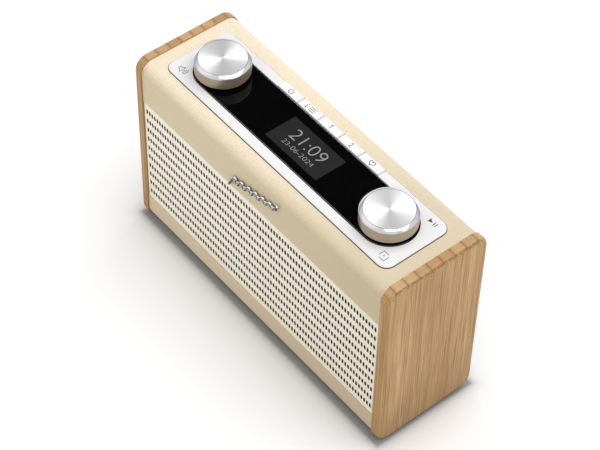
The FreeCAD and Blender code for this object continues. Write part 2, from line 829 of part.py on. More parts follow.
def key_notch():
    """The open strip along the back of the plate that holds the keys."""
    half = KEY_COUNT * KEY_PITCH / 2
    return block(KEY_MID_X - half, KEY_MID_X + half, PLATE_MID_Y, PLATE_Y1 + 1, POCKET_Z, PLATE_TOP + 1)


def key_stem_slots():
    """Slots in the plate's floor for the stems of the keys."""
    half_x, half_y = KEY_STEM_X + KEY_STEM_ROOM, KEY_STEM_Y + KEY_STEM_ROOM
    y0, y1 = key_mid_y() - half_y, key_mid_y() + half_y
    slots = []
    for i in range(KEY_COUNT):
        slots.append(block(key_x(i) - half_x, key_x(i) + half_x, y0, y1, PLATE_BOTTOM - 1, POCKET_Z + 1))
    return slots


def shaft_holes():
    """Clearance for the two bushings through the plate's floor and the lens."""
    return [
        rod(SHAFT_HOLE_R, side * LENS_END_X, PLATE_MID_Y, PLATE_BOTTOM - 1, Z_AXIS, LENS_T + 3)
        for side in (-1, 1)
    ]


def control_plate():
    plate = plate_block(0, PLATE_BOTTOM, PLATE_TOP)
    plate = plate.makeFillet(PLATE_EDGE_R, edges_at_height(plate, PLATE_TOP))
    post_len = PLATE_BOTTOM - CONTROL_BOARD_TOP
    posts = [rod(POST_R, x, y, CONTROL_BOARD_TOP, Z_AXIS, post_len) for x, y in PLATE_POSTS]
    window = block(
        SCREEN_X - SCREEN_W / 2, SCREEN_X + SCREEN_W / 2,
        SCREEN_Y - SCREEN_D / 2, SCREEN_Y + SCREEN_D / 2, PLATE_BOTTOM - 1, POCKET_Z + 1,
    )
    pilot_top = CONTROL_BOARD_TOP + BOARD_SCREW_REACH
    pilots = plate_screw_holes(CONTROL_BOARD_TOP - 1, pilot_top, BOARD_SCREW_R + FIT)
    pocket = stadium(LENS_POCKET_R, POCKET_Z, PLATE_TOP + 1)
    plate = cut(join([plate] + posts), [pocket, key_notch(), window])
    return cut(plate, key_stem_slots() + shaft_holes() + pilots)


def plate_seal():
    """A soft ring that fills the gap between the plate and the covering."""
    top = BODY_Z1 + SEAL_PROUD
    return plate_block(PLATE_GAP, PLATE_BOTTOM, top).cut(plate_block(0, PLATE_BOTTOM, top))


def lens_panel():
    lip = stadium(LENS_LIP_R, POCKET_Z, POCKET_Z + LENS_LIP_T)
    upper = stadium(LENS_R, POCKET_Z, LENS_TOP)
    upper = upper.makeChamfer(LENS_EDGE, edges_at_height(upper, LENS_TOP))
    return cut(join([lip, upper]), shaft_holes())


def display_module():
    base = block(
        SCREEN_X - SCREEN_BASE_HALF_X, SCREEN_X + SCREEN_BASE_HALF_X,
        SCREEN_Y - SCREEN_BASE_HALF_Y, SCREEN_Y + SCREEN_BASE_HALF_Y,
        PLATE_BOTTOM - SCREEN_BASE_T, PLATE_BOTTOM,
    )
    half_x, half_y = SCREEN_W / 2 - SCREEN_GLASS_ROOM, SCREEN_D / 2 - SCREEN_GLASS_ROOM
    glass = block(
        SCREEN_X - half_x, SCREEN_X + half_x, SCREEN_Y - half_y, SCREEN_Y + half_y,
        PLATE_BOTTOM, PLATE_BOTTOM + SCREEN_GLASS_T,
    )
    header = block(
        SCREEN_X - SCREEN_HEADER_HALF_X, SCREEN_X + SCREEN_HEADER_HALF_X,
        SCREEN_Y + SCREEN_HEADER_Y0, SCREEN_Y + SCREEN_HEADER_Y1,
        CONTROL_BOARD_TOP, PLATE_BOTTOM - SCREEN_BASE_T,
    )
    return join([base, glass, header])


def control_board():
    bottom = CONTROL_BOARD_TOP - BOARD_T
    board = block(
        -CONTROL_BOARD_HALF_X, CONTROL_BOARD_HALF_X,
        -CONTROL_BOARD_HALF_Y, CONTROL_BOARD_HALF_Y, bottom, CONTROL_BOARD_TOP,
    )
    board = round_edges(board, BOARD_CORNER_R, Z_AXIS)
    return cut(board, plate_screw_holes(bottom - 1, CONTROL_BOARD_TOP + 1, BOARD_SCREW_R + SCREW_ROOM))


def control_screws():
    screws = []
    seat = CONTROL_BOARD_TOP - BOARD_T
    for x, y in PLATE_POSTS:
        head = rod(BOARD_SCREW_HEAD_R, x, y, seat - BOARD_SCREW_HEAD_T, Z_AXIS, BOARD_SCREW_HEAD_T)
        shank = rod(BOARD_SCREW_R, x, y, seat, Z_AXIS, BOARD_SCREW_LEN)
        screws.append(join([head, shank]))
    return group(screws)


def key(index):
    """One key: a soft-edged cap on a stem held by two barbs."""
    x, y = key_x(index), key_mid_y()
    half = (KEY_PITCH - KEY_GAP) / 2
    cap = block(x - half, x + half, KEY_Y0, KEY_Y1, KEY_BOTTOM, KEY_TOP)
    cap = round_edges(cap, KEY_EDGE_R, Z_AXIS)
    cap = cap.makeFillet(KEY_TOP_R, edges_at_height(cap, KEY_TOP))
    y0, y1 = y - KEY_STEM_Y, y + KEY_STEM_Y
    stem = block(x - KEY_STEM_X, x + KEY_STEM_X, y0, y1, KEY_STEM_BOTTOM, KEY_BOTTOM)
    barb_top = PLATE_BOTTOM - KEY_BARB_DROP
    barb = block(x - KEY_BARB_X, x + KEY_BARB_X, y0, y1, barb_top - KEY_BARB_T, barb_top)
    return join([cap, stem, barb])


def key_switches():
    switches = []
    y = key_mid_y()
    lid = CONTROL_BOARD_TOP + SWITCH_H
    for i in range(KEY_COUNT):
        x = key_x(i)
        body = block(
            x - SWITCH_HALF_X, x + SWITCH_HALF_X, y - SWITCH_HALF_Y, y + SWITCH_HALF_Y,
            CONTROL_BOARD_TOP, lid,
        )
        plunger = rod(SWITCH_PLUNGER_R, x, y, lid, Z_AXIS, SWITCH_TOP - lid)
        switches.append(join([body, plunger]))
    return group(switches)


def encoder(side):
    """A rotary encoder: square body, threaded bushing, bore for the shaft."""
    x, y = side * LENS_END_X, PLATE_MID_Y
    body = block(
        x - ENCODER_HALF_X, x + ENCODER_HALF_X, y - ENCODER_HALF_Y, y + ENCODER_HALF_Y,
        CONTROL_BOARD_TOP, ENCODER_TOP,
    )
    bushing = rod(BUSHING_R, x, y, ENCODER_TOP, Z_AXIS, BUSHING_TOP - ENCODER_TOP)
    bore = rod(SHAFT_R + FIT, x, y, CAVITY_BOTTOM, Z_AXIS, BUSHING_TOP - CAVITY_BOTTOM)
    return join([body, bushing]).cut(bore)


def encoder_nuts():
    nuts = []
    turns = [math.radians(60 * i) for i in range(7)]
    for side in (-1, 1):
        x = side * LENS_END_X
        corners = [
            V(x + NUT_R * math.cos(turn), PLATE_MID_Y + NUT_R * math.sin(turn), LENS_TOP) for turn in turns
        ]
        nut = Part.Face(Part.makePolygon(corners)).extrude(V(0, 0, NUT_T))
        nuts.append(nut.cut(rod(BUSHING_R + FIT, x, PLATE_MID_Y, LENS_TOP - 1, Z_AXIS, NUT_T + 2)))
    return group(nuts)


def shaft_flat(x, depth):
    """What is taken off one side of a shaft above the bushing."""
    reach = 2 * SHAFT_R
    return block(
        x + depth, x + reach, PLATE_MID_Y - reach, PLATE_MID_Y + reach, SHAFT_FLAT_Z, SHAFT_TOP + 1
    )


def shaft(side):
    x = side * LENS_END_X
    pin = rod(SHAFT_R, x, PLATE_MID_Y, SHAFT_BOTTOM, Z_AXIS, SHAFT_TOP - SHAFT_BOTTOM)
    return pin.cut(shaft_flat(x, SHAFT_FLAT))


def select_plunger():
    """The disc under the select shaft that works the push switch."""
    top = SHAFT_BOTTOM - FIT
    return rod(PLUNGER_R, LENS_END_X, PLATE_MID_Y, top - PLUNGER_T, Z_AXIS, PLUNGER_T)


def knob_body(side):
    """The lacquered side of a knob, hollow underneath, with a flatted bore."""
    x = side * LENS_END_X
    body = turned([
        (0, KNOB_RECESS_TOP), (KNOB_RECESS_R, KNOB_RECESS_TOP), (KNOB_RECESS_R, KNOB_BOTTOM),
        (KNOB_SKIRT_R, KNOB_BOTTOM), (KNOB_SKIRT_R, KNOB_SKIRT_TOP), (KNOB_R - KNOB_EDGE, KNOB_SKIRT_TOP),
        (KNOB_R, KNOB_SKIRT_TOP + KNOB_EDGE), (KNOB_R, KNOB_TOP), (0, KNOB_TOP),
    ], x, PLATE_MID_Y, 0, Z_AXIS)
    from_z = KNOB_RECESS_TOP - 1
    bore = rod(SHAFT_R + FIT, x, PLATE_MID_Y, from_z, Z_AXIS, SHAFT_TOP - from_z)
    return body.cut(bore.cut(shaft_flat(x, SHAFT_FLAT + FIT)))


def knob_cap(side):
    """The spun metal cap: a lip, a broad bevel and a slightly dished face."""
    z, top = KNOB_TOP, KNOB_TOP + CAP_H
    return turned([
        (0, z), (KNOB_R - CAP_EDGE, z), (KNOB_R, z + CAP_EDGE), (KNOB_R, z + CAP_LIP),
        (CAP_FACE_R + CAP_FACE_EDGE, top - CAP_FACE_EDGE / 2), (CAP_FACE_R, top),
        (CAP_FACE_R - CAP_FACE_FLAT, top), (0, top - CAP_DISH),
    ], side * LENS_END_X, PLATE_MID_Y, 0, Z_AXIS)


# ---- back
def block_places():
    """Middle x and bottom z of the glue blocks behind the rear cover."""
    return [(x, z) for x in BLOCK_XS for z in (REAR_Z0, REAR_Z1 - BLOCK_H)]


def rear_screw_places():
    return [(x, z + BLOCK_H / 2) for x, z in block_places()]


def corner_blocks():
    blocks = []
    for x, z in block_places():
        front = REAR_INSIDE - BLOCK_DEPTH
        piece = block(x - BLOCK_HALF_X, x + BLOCK_HALF_X, front, REAR_INSIDE, z, z + BLOCK_H)
        pilot = rod(REAR_SCREW_R + FIT, x, front, z + BLOCK_H / 2, Y_AXIS, BLOCK_DEPTH)
        blocks.append(piece.cut(pilot))
    return group(blocks)


def main_post_places():
    xs = (MAIN_X0 + MAIN_POST_INSET, MAIN_X1 - MAIN_POST_INSET)
    zs = (MAIN_Z0 + MAIN_POST_INSET, MAIN_Z1 - MAIN_POST_INSET)
    return [(x, z) for x in xs for z in zs]


def socket_openings():
    """Clearance in the rear cover for the three sockets."""
    y0, y1 = REAR_INSIDE - 1, REAR_FACE + 1
    power = rod(POWER_NOSE_R + SOCKET_ROOM, POWER_X, y0, SOCKET_Z, Y_AXIS, y1 - y0)
    phones = rod(PHONES_NOSE_R + SOCKET_ROOM, PHONES_X, y0, SOCKET_Z, Y_AXIS, y1 - y0)
    half_x, half_z = SERVICE_HALF_X + SERVICE_ROOM, SERVICE_HALF_Z + SERVICE_ROOM
    service = block(
        SERVICE_X - half_x, SERVICE_X + half_x, y0, y1, SOCKET_Z - half_z, SOCKET_Z + half_z
    )
    return [power, phones, round_edges(service, SERVICE_ROOM_R, Y_AXIS)]


def rear_vents():
    """Upright slots behind the driver."""
    vents = []
    for i in range(VENT_COUNT):
        x = VENT_X0 + i * VENT_PITCH
        vent = block(x - VENT_W / 2, x + VENT_W / 2, REAR_INSIDE - 1, REAR_FACE + 1, VENT_Z0, VENT_Z1)
        vents.append(round_edges(vent, VENT_END_R, Y_AXIS))
    return vents


def rear_cover_holes():
    """Every hole in the rear cover for a screw or for the aerial's stub."""
    holes = []
    through, counterbore = REAR_SCREW_R + SCREW_ROOM, REAR_SCREW_HEAD_R + SCREW_ROOM
    for x, z in rear_screw_places():
        holes.append(rod(through, x, REAR_INSIDE - 1, z, Y_AXIS, REAR_T + 2))
        holes.append(rod(counterbore, x, REAR_SCREW_SEAT, z, Y_AXIS, REAR_T))
    for x, z in main_post_places():
        holes.append(rod(BOARD_SCREW_R + FIT, x, MAIN_BACK, z, Y_AXIS, BOARD_SCREW_REACH))
    holes.append(rod(AERIAL_STUB_R + FIT, AERIAL_X, INNER_HALF_D, AERIAL_Z, Y_AXIS, HALF_D))
    return holes


def rear_cover():
    half = REAR_HALF_X - REAR_GAP
    cover = block(-half, half, REAR_INSIDE, REAR_FACE, REAR_Z0 + REAR_GAP, REAR_Z1 - REAR_GAP)
    cover = round_edges(cover, REAR_CORNER_R - REAR_GAP, Y_AXIS)
    boss_from = REAR_INSIDE - AERIAL_BOSS_DEPTH
    boss = rod(AERIAL_BOSS_R, AERIAL_X, boss_from, AERIAL_Z, Y_AXIS, AERIAL_BOSS_DEPTH)
    post_len = REAR_INSIDE - MAIN_BACK
    posts = [rod(POST_R, x, MAIN_BACK, z, Y_AXIS, post_len) for x, z in main_post_places()]
    return cut(join([cover, boss] + posts), rear_cover_holes() + socket_openings() + rear_vents())


def rear_screws():
    screws = []
    seat = REAR_SCREW_SEAT
    face = seat + REAR_SCREW_HEAD_T
    for x, z in rear_screw_places():
        head = rod(REAR_SCREW_HEAD_R, x, seat, z, Y_AXIS, REAR_SCREW_HEAD_T)
        shank = rod(REAR_SCREW_R, x, seat - REAR_SCREW_REACH, z, Y_AXIS, REAR_SCREW_REACH)
        screws.append(cut(join([head, shank]), cross_slot(x, z, face, CROSS_DEPTH)))
    return group(screws)


def main_board():
    board = block(MAIN_X0, MAIN_X1, MAIN_FRONT, MAIN_BACK, MAIN_Z0, MAIN_Z1)
    board = round_edges(board, BOARD_CORNER_R, Y_AXIS)
    radius = BOARD_SCREW_R + SCREW_ROOM
    holes = [rod(radius, x, MAIN_FRONT, z, Y_AXIS, BOARD_T) for x, z in main_post_places()]
    chips = [block(x0, x1, MAIN_FRONT - high, MAIN_FRONT, z0, z1) for x0, x1, z0, z1, high in CHIPS]
    return join([cut(board, holes)] + chips)


def main_board_screws():
    screws = []
    for x, z in main_post_places():
        head_from = MAIN_FRONT - BOARD_SCREW_HEAD_T
        head = rod(BOARD_SCREW_HEAD_R, x, head_from, z, Y_AXIS, BOARD_SCREW_HEAD_T)
        shank = rod(BOARD_SCREW_R, x, MAIN_FRONT, z, Y_AXIS, BOARD_SCREW_LEN)
        screws.append(join([head, shank]))
    return group(screws)


def tuner_shield():
    """A tinned can over the tuner, open towards the board."""
    front, wall = MAIN_FRONT - SHIELD_H, SHIELD_T
    can = block(SHIELD_X0, SHIELD_X1, front, MAIN_FRONT, SHIELD_Z0, SHIELD_Z1)
    can = round_edges(can, SHIELD_CORNER_R, Y_AXIS)
    room = block(
        SHIELD_X0 + wall, SHIELD_X1 - wall, front + wall, MAIN_FRONT + 1, SHIELD_Z0 + wall, SHIELD_Z1 - wall
    )
    return can.cut(room)


def board_capacitors():
    cans = []
    front = MAIN_FRONT - CAPACITOR_H
    for x, z in CAPACITORS:
        can = rod(CAPACITOR_R, x, front, z, Y_AXIS, CAPACITOR_H)
        rim = [e for e in can.Edges if abs(e.BoundBox.YMax - front) < TINY]
        cans.append(can.makeChamfer(CAPACITOR_EDGE, rim))
    return group(cans)


def round_socket(x, half_x, half_z, nose, bore, depth):
    """A socket body on the main board with a nose in the rear cover and a bore."""
    body = block(x - half_x, x + half_x, MAIN_BACK, SOCKET_BODY_BACK, SOCKET_Z - half_z, SOCKET_Z + half_z)
    tube = rod(nose, x, SOCKET_BODY_BACK, SOCKET_Z, Y_AXIS, SOCKET_FACE - SOCKET_BODY_BACK)
    return join([body, tube]).cut(rod(bore, x, SOCKET_FACE - depth, SOCKET_Z, Y_AXIS, depth + 1))


def power_inlet():
    socket = round_socket(POWER_X, POWER_HALF_X, POWER_HALF_Z, POWER_NOSE_R, POWER_BORE_R, POWER_DEPTH)
    pin = rod(POWER_PIN_R, POWER_X, SOCKET_FACE - POWER_DEPTH, SOCKET_Z, Y_AXIS, POWER_DEPTH - 1)
    return join([socket, pin])


def headphone_socket():
    return round_socket(PHONES_X, PHONES_HALF_X, PHONES_HALF_Z, PHONES_NOSE_R, PHONES_BORE_R, PHONES_DEPTH)


def service_socket():
    """A flat metal shell with a tongue in its mouth."""
    x, z, floor = SERVICE_X, SOCKET_Z, SERVICE_FACE - SERVICE_DEPTH
    half_x, half_z = SERVICE_HALF_X, SERVICE_HALF_Z
    shell = block(x - half_x, x + half_x, MAIN_BACK, SERVICE_FACE, z - half_z, z + half_z)
    shell = round_edges(shell, half_z * SERVICE_ROUND, Y_AXIS)
    half_x, half_z = half_x - SERVICE_WALL, half_z - SERVICE_WALL
    mouth = block(x - half_x, x + half_x, floor, SERVICE_FACE + 1, z - half_z, z + half_z)
    mouth = round_edges(mouth, half_z * SERVICE_ROUND, Y_AXIS)
    half_x, half_z = SERVICE_TONGUE_X, SERVICE_TONGUE_Z
    back = SERVICE_FACE - SERVICE_TONGUE_BACK
    tongue = block(x - half_x, x + half_x, floor - 1, back, z - half_z, z + half_z)
    return join([shell.cut(mouth), tongue])


def ribbon_cable():
    """A flat cable between the two boards, with a plug at each end."""
    x0, x1 = RIBBON_X0, RIBBON_X1
    plug_x0, plug_x1 = x0 - RIBBON_PLUG_SIDE, x1 + RIBBON_PLUG_SIDE
    top = CONTROL_BOARD_TOP - BOARD_T
    neck = top - RIBBON_PLUG_UP
    half = RIBBON_PLUG_HALF_Y
    upper = block(plug_x0, plug_x1, RIBBON_Y0 - half, RIBBON_Y0 + half, neck, top)
    lower = block(
        plug_x0, plug_x1, MAIN_FRONT - RIBBON_PLUG_DEPTH, MAIN_FRONT,
        RIBBON_BOTTOM - RIBBON_PLUG_DOWN, RIBBON_BOTTOM,
    )
    line = [
        (RIBBON_Y0, neck), (RIBBON_Y0, RIBBON_BEND_Z1),
        (RIBBON_Y1, RIBBON_BEND_Z0), (RIBBON_Y1, RIBBON_BOTTOM),
    ]
    outline = [V(x0, y, z) for y, z in line] + [V(x0, y + RIBBON_T, z) for y, z in reversed(line)]
    strip = Part.Face(Part.makePolygon(outline + outline[:1])).extrude(V(x1 - x0, 0, 0))
    return join([upper, lower, strip])


def speaker_leads():
    leads = []
    for drop in (-LEAD_DROP, LEAD_DROP):
        route = [V(x, y, DRIVER_Z + drop + rise) for x, y, rise in SPEAKER_LEAD_ROUTE]
        leads.append(wire_through(route, LEAD_R))
    return group(leads)


def aerial_lead():
    """A thin wire from the aerial's keeper down to the main board."""
    return wire_through([V(*place) for place in AERIAL_LEAD_ROUTE], AERIAL_LEAD_R)


# ---- aerial
def aerial_pivot():
    """Turning base: a stub through the cover, a disc and a fork with its pin."""
    x, z = AERIAL_X, AERIAL_Z
    disc_front = REAR_FACE + AERIAL_BASE_ROOM
    disc_back = disc_front + AERIAL_DISC_T
    keeper_back = REAR_INSIDE - AERIAL_BOSS_DEPTH - KEEPER_ROOM
    keeper = rod(AERIAL_KEEPER_R, x, keeper_back - AERIAL_KEEPER_T, z, Y_AXIS, AERIAL_KEEPER_T)
    stub = rod(AERIAL_STUB_R, x, keeper_back, z, Y_AXIS, disc_front - keeper_back)
    disc = rod(AERIAL_DISC_R, x, disc_front, z, Y_AXIS, AERIAL_DISC_T)
    cheeks = []
    for low, high in ((FORK_INNER_Z, FORK_OUTER_Z), (-FORK_OUTER_Z, -FORK_INNER_Z)):
        cheek = block(
            x - FORK_HALF_X, x + FORK_HALF_X, disc_back, AERIAL_Y + FORK_REACH, z + low, z + high
        )
        cheeks.append(round_edges(cheek, FORK_END_R, Z_AXIS, lambda p: p.y > AERIAL_Y))
    pin = rod(PIN_R, x, AERIAL_Y, z - FORK_OUTER_Z, Z_AXIS, 2 * FORK_OUTER_Z)
    return join([keeper, stub, disc, pin] + cheeks)


def aerial_arm():
    """The outer tube with the eye that sits in the fork."""
    x, y, z = AERIAL_X, AERIAL_Y, AERIAL_Z
    start, end = AERIAL_START[0], AERIAL_END[0]
    neck = block(x - start - 1, x, y - EYE_R, y + EYE_R, z - EYE_HALF_Z, z + EYE_HALF_Z)
    eye = rod(EYE_R, x, y, z - EYE_HALF_Z, Z_AXIS, 2 * EYE_HALF_Z)
    tube = rod(AERIAL_TUBE_R[0], x - end, y, z, X_AXIS, end - start)
    bore = rod(AERIAL_BORE_R[0], x - end, y, z, X_AXIS, end - start - AERIAL_PLUG)
    hole = rod(PIN_R + FIT, x, y, z - EYE_HALF_Z, Z_AXIS, 2 * EYE_HALF_Z)
    return cut(join([neck, eye, tube]), [bore, hole])


def aerial_tube(index):
    """A sliding tube, closed at the end nearest the pivot."""
    x, y, z = AERIAL_X, AERIAL_Y, AERIAL_Z
    start, end = AERIAL_START[index], AERIAL_END[index]
    tube = rod(AERIAL_TUBE_R[index], x - end, y, z, X_AXIS, end - start)
    bore = rod(AERIAL_BORE_R[index], x - end, y, z, X_AXIS, end - start - 1)
    return tube.cut(bore)


def aerial_rod():
    x, y, z = AERIAL_X, AERIAL_Y, AERIAL_Z
    thin = rod(AERIAL_ROD_R, x - AERIAL_ROD_END, y, z, X_AXIS, AERIAL_ROD_END - AERIAL_ROD_START)
    tip = rod(AERIAL_TUBE_R[0], x - AERIAL_ROD_END - AERIAL_TIP_LEN, y, z, X_AXIS, AERIAL_TIP_LEN)
    tip = tip.makeFillet(AERIAL_TIP_EDGE_R, [e for e in tip.Edges if e.BoundBox.XLength < TINY])
    return join([thin, tip])


def all_parts():
    """Every node and its shape."""
    parts = {
        "cabinet_sleeve": cabinet_sleeve(),
        "leatherette_wrap": leatherette_wrap(),
        "end_panel_left": end_panel(-1),
        "end_panel_right": end_panel(1),
        "end_dowels": end_dowels(),
        "feet": feet(),
        "foot_screws": foot_screws(),
        "front_grille": front_grille(),
        "speaker_cloth": speaker_cloth(),
        "baffle": baffle(),
        "driver_gasket": driver_gasket(),
        "driver_frame": driver_frame(),
        "driver_magnet": driver_magnet(),
        "driver_cone": driver_cone(),
        "driver_surround": driver_surround(),
        "driver_dust_cap": driver_dust_cap(),
        "driver_screws": driver_screws(),
        "badge": badge(),
        "control_plate": control_plate(),
        "plate_seal": plate_seal(),
        "lens_panel": lens_panel(),
        "display_module": display_module(),
        "control_board": control_board(),
        "control_screws": control_screws(),
        "key_switches": key_switches(),
        "volume_encoder": encoder(-1),
        "select_encoder": encoder(1),
        "encoder_nuts": encoder_nuts(),
        "volume_shaft": shaft(-1),
        "select_shaft": shaft(1),
        "select_plunger": select_plunger(),
        "volume_knob": knob_body(-1),
        "select_knob": knob_body(1),
        "volume_knob_cap": knob_cap(-1),
        "select_knob_cap": knob_cap(1),
        "rear_cover": rear_cover(),
        "rear_screws": rear_screws(),
        "corner_blocks": corner_blocks(),
        "main_board": main_board(),
        "main_board_screws": main_board_screws(),
        "tuner_shield": tuner_shield(),
        "board_capacitors": board_capacitors(),
        "power_inlet": power_inlet(),
        "headphone_socket": headphone_socket(),
        "service_socket": service_socket(),
        "ribbon_cable": ribbon_cable(),
        "speaker_leads": speaker_leads(),
        "aerial_lead": aerial_lead(),
        "aerial_pivot": aerial_pivot(),
        "aerial_tube_1": aerial_arm(),
        "aerial_tube_2": aerial_tube(1),
        "aerial_tube_3": aerial_tube(2),
        "aerial_rod": aerial_rod(),
    }
    for i, name in enumerate(KEY_NAMES):
        parts["key_" + name] = key(i)
    return parts


os.makedirs("parts", exist_ok=True)
for name, shape in all_parts().items():
    shape.translate(V(0, SHIFT_Y, SHIFT_Z))
    shape.exportStep("parts/" + name + ".step")
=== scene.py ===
"""Looks of the tabletop radio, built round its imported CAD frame.

Everything is in metres in the radio's own frame: +Z up, front towards -Y,
origin on the table under the middle.  Places come from the CAD boxes.  Only
the points of a drawn mark and the pitch and depth of a grain are in millimetres.
"""

import math

import bpy
from mathutils import Matrix, Vector


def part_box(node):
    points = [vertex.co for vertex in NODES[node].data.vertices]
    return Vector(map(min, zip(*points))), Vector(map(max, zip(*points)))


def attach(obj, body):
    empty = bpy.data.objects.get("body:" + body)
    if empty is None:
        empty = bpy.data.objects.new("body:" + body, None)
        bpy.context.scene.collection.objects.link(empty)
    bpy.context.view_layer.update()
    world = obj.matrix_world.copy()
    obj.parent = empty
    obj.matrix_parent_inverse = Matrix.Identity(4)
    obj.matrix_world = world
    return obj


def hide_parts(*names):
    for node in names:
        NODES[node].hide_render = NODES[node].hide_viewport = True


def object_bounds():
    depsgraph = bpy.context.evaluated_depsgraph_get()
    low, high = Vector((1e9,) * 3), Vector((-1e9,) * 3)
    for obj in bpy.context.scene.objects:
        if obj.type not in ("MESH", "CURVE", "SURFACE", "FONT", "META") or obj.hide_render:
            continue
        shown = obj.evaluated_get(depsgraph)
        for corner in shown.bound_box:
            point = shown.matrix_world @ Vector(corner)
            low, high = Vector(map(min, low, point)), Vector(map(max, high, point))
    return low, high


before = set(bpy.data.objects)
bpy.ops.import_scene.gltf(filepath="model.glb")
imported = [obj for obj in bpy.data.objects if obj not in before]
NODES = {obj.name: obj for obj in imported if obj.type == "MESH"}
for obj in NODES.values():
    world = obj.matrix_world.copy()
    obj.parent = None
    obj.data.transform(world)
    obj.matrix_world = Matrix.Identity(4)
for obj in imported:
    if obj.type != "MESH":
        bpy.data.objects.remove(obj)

CAD_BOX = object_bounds()
MM = 0.001
SCENE = bpy.context.scene


def middle(node):
    """Centre of a CAD node's box."""
    low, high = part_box(node)
    return (low + high) / 2


def tone(red, green, blue):
    """A screen colour, 0 to 255 a channel, as linear light."""
    def linear(level):
        share = level / 255
        return share / 12.92 if share <= 0.04045 else ((share + 0.055) / 1.055) ** 2.4
    return (linear(red), linear(green), linear(blue), 1.0)


# ---------------------------------------------------------------- node trees
class Tree:
    """A node tree that is built by short calls."""

    def __init__(self, owner, coordinate="Object"):
        owner.use_nodes = True
        self.nodes = owner.node_tree.nodes
        self.links = owner.node_tree.links
        self.nodes.clear()
        self.place = self.add("ShaderNodeTexCoord").outputs[coordinate]

    def add(self, kind, inputs=None, **settings):
        node = self.nodes.new(kind)
        for name, value in settings.items():
            setattr(node, name, value)
        for key, value in (inputs or {}).items():
            if isinstance(value, bpy.types.NodeSocket):
                self.links.new(value, node.inputs[key])
            else:
                node.inputs[key].default_value = value
        return node

    def math(self, operation, a, b=0.0, c=0.0):
        return self.add("ShaderNodeMath", {0: a, 1: b, 2: c}, operation=operation).outputs[0]

    def vector(self, operation, a, b=(0.0, 0.0, 0.0), output=0):
        node = self.add("ShaderNodeVectorMath", {0: a, 1: b}, operation=operation)
        return node.outputs[output]

    def axes(self, vector=None):
        """The x, y and z of a vector, by default of the place."""
        source = self.place if vector is None else vector
        return self.add("ShaderNodeSeparateXYZ", {0: source}).outputs

    def gather(self, x, y, z):
        return self.add("ShaderNodeCombineXYZ", {0: x, 1: y, 2: z}).outputs[0]

    def per_metre(self, x, y, z):
        """The place with so many units of pattern to the metre along each axis."""
        return self.vector("MULTIPLY", self.place, (x, y, z))

    def noise(self, place, detail=3.0, roughness=0.5, distortion=0.0):
        inputs = {"Vector": place, "Scale": 1.0, "Detail": detail,
                  "Roughness": roughness, "Distortion": distortion}
        return self.add("ShaderNodeTexNoise", inputs).outputs[0]

    def cells(self, place, feature="F1"):
        inputs = {"Vector": place, "Scale": 1.0, "Randomness": 1.0}
        return self.add("ShaderNodeTexVoronoi", inputs, feature=feature).outputs["Distance"]

    def remap(self, value, low, high, to_low=0.0, to_high=1.0):
        inputs = {"Value": value, "From Min": low, "From Max": high,
                  "To Min": to_low, "To Max": to_high}
        node = self.add("ShaderNodeMapRange", inputs, interpolation_type="SMOOTHSTEP")
        return node.outputs[0]

    def mix(self, share, a, b):
        """Colour a, and b in its place where share is 1."""
        node = self.add("ShaderNodeMix", {0: share, 6: a, 7: b}, data_type="RGBA")
        return node.outputs[2]

    def relief(self, height, depth, under=None):
        """Bump from a height of 0 to 1, so many metres deep."""
        inputs = {"Height": height, "Distance": depth, "Strength": 1.0}
        if under is not None:
            inputs["Normal"] = under
        return self.add("ShaderNodeBump", inputs).outputs[0]

    def edges(self, radius):
        """1 along edges that hands rub, 0 on flats."""
        soft = self.add("ShaderNodeBevel", {"Radius": radius}, samples=4).outputs[0]
        flat = self.add("ShaderNodeNewGeometry").outputs["Normal"]
        return self.remap(self.vector("DOT_PRODUCT", soft, flat, "Value"), 0.985, 0.80)

    def finish(self, inputs):
        """The one shader and the output."""
        shader = self.add("ShaderNodeBsdfPrincipled", inputs)
        self.add("ShaderNodeOutputMaterial", {"Surface": shader.outputs[0]})


def new_tree(name):
    """A fresh material and its tree."""
    material = bpy.data.materials.new(name)
    return material, Tree(material)


# ---------------------------------------------------------------- finishes
# painted shade: from here rightwards leatherette and grille are darkened in colour, standing in for
# their fading sheen
PAINTED_SHADE_FROM = -60.0 * MM     # to the right of here the front slowly falls off in brightness


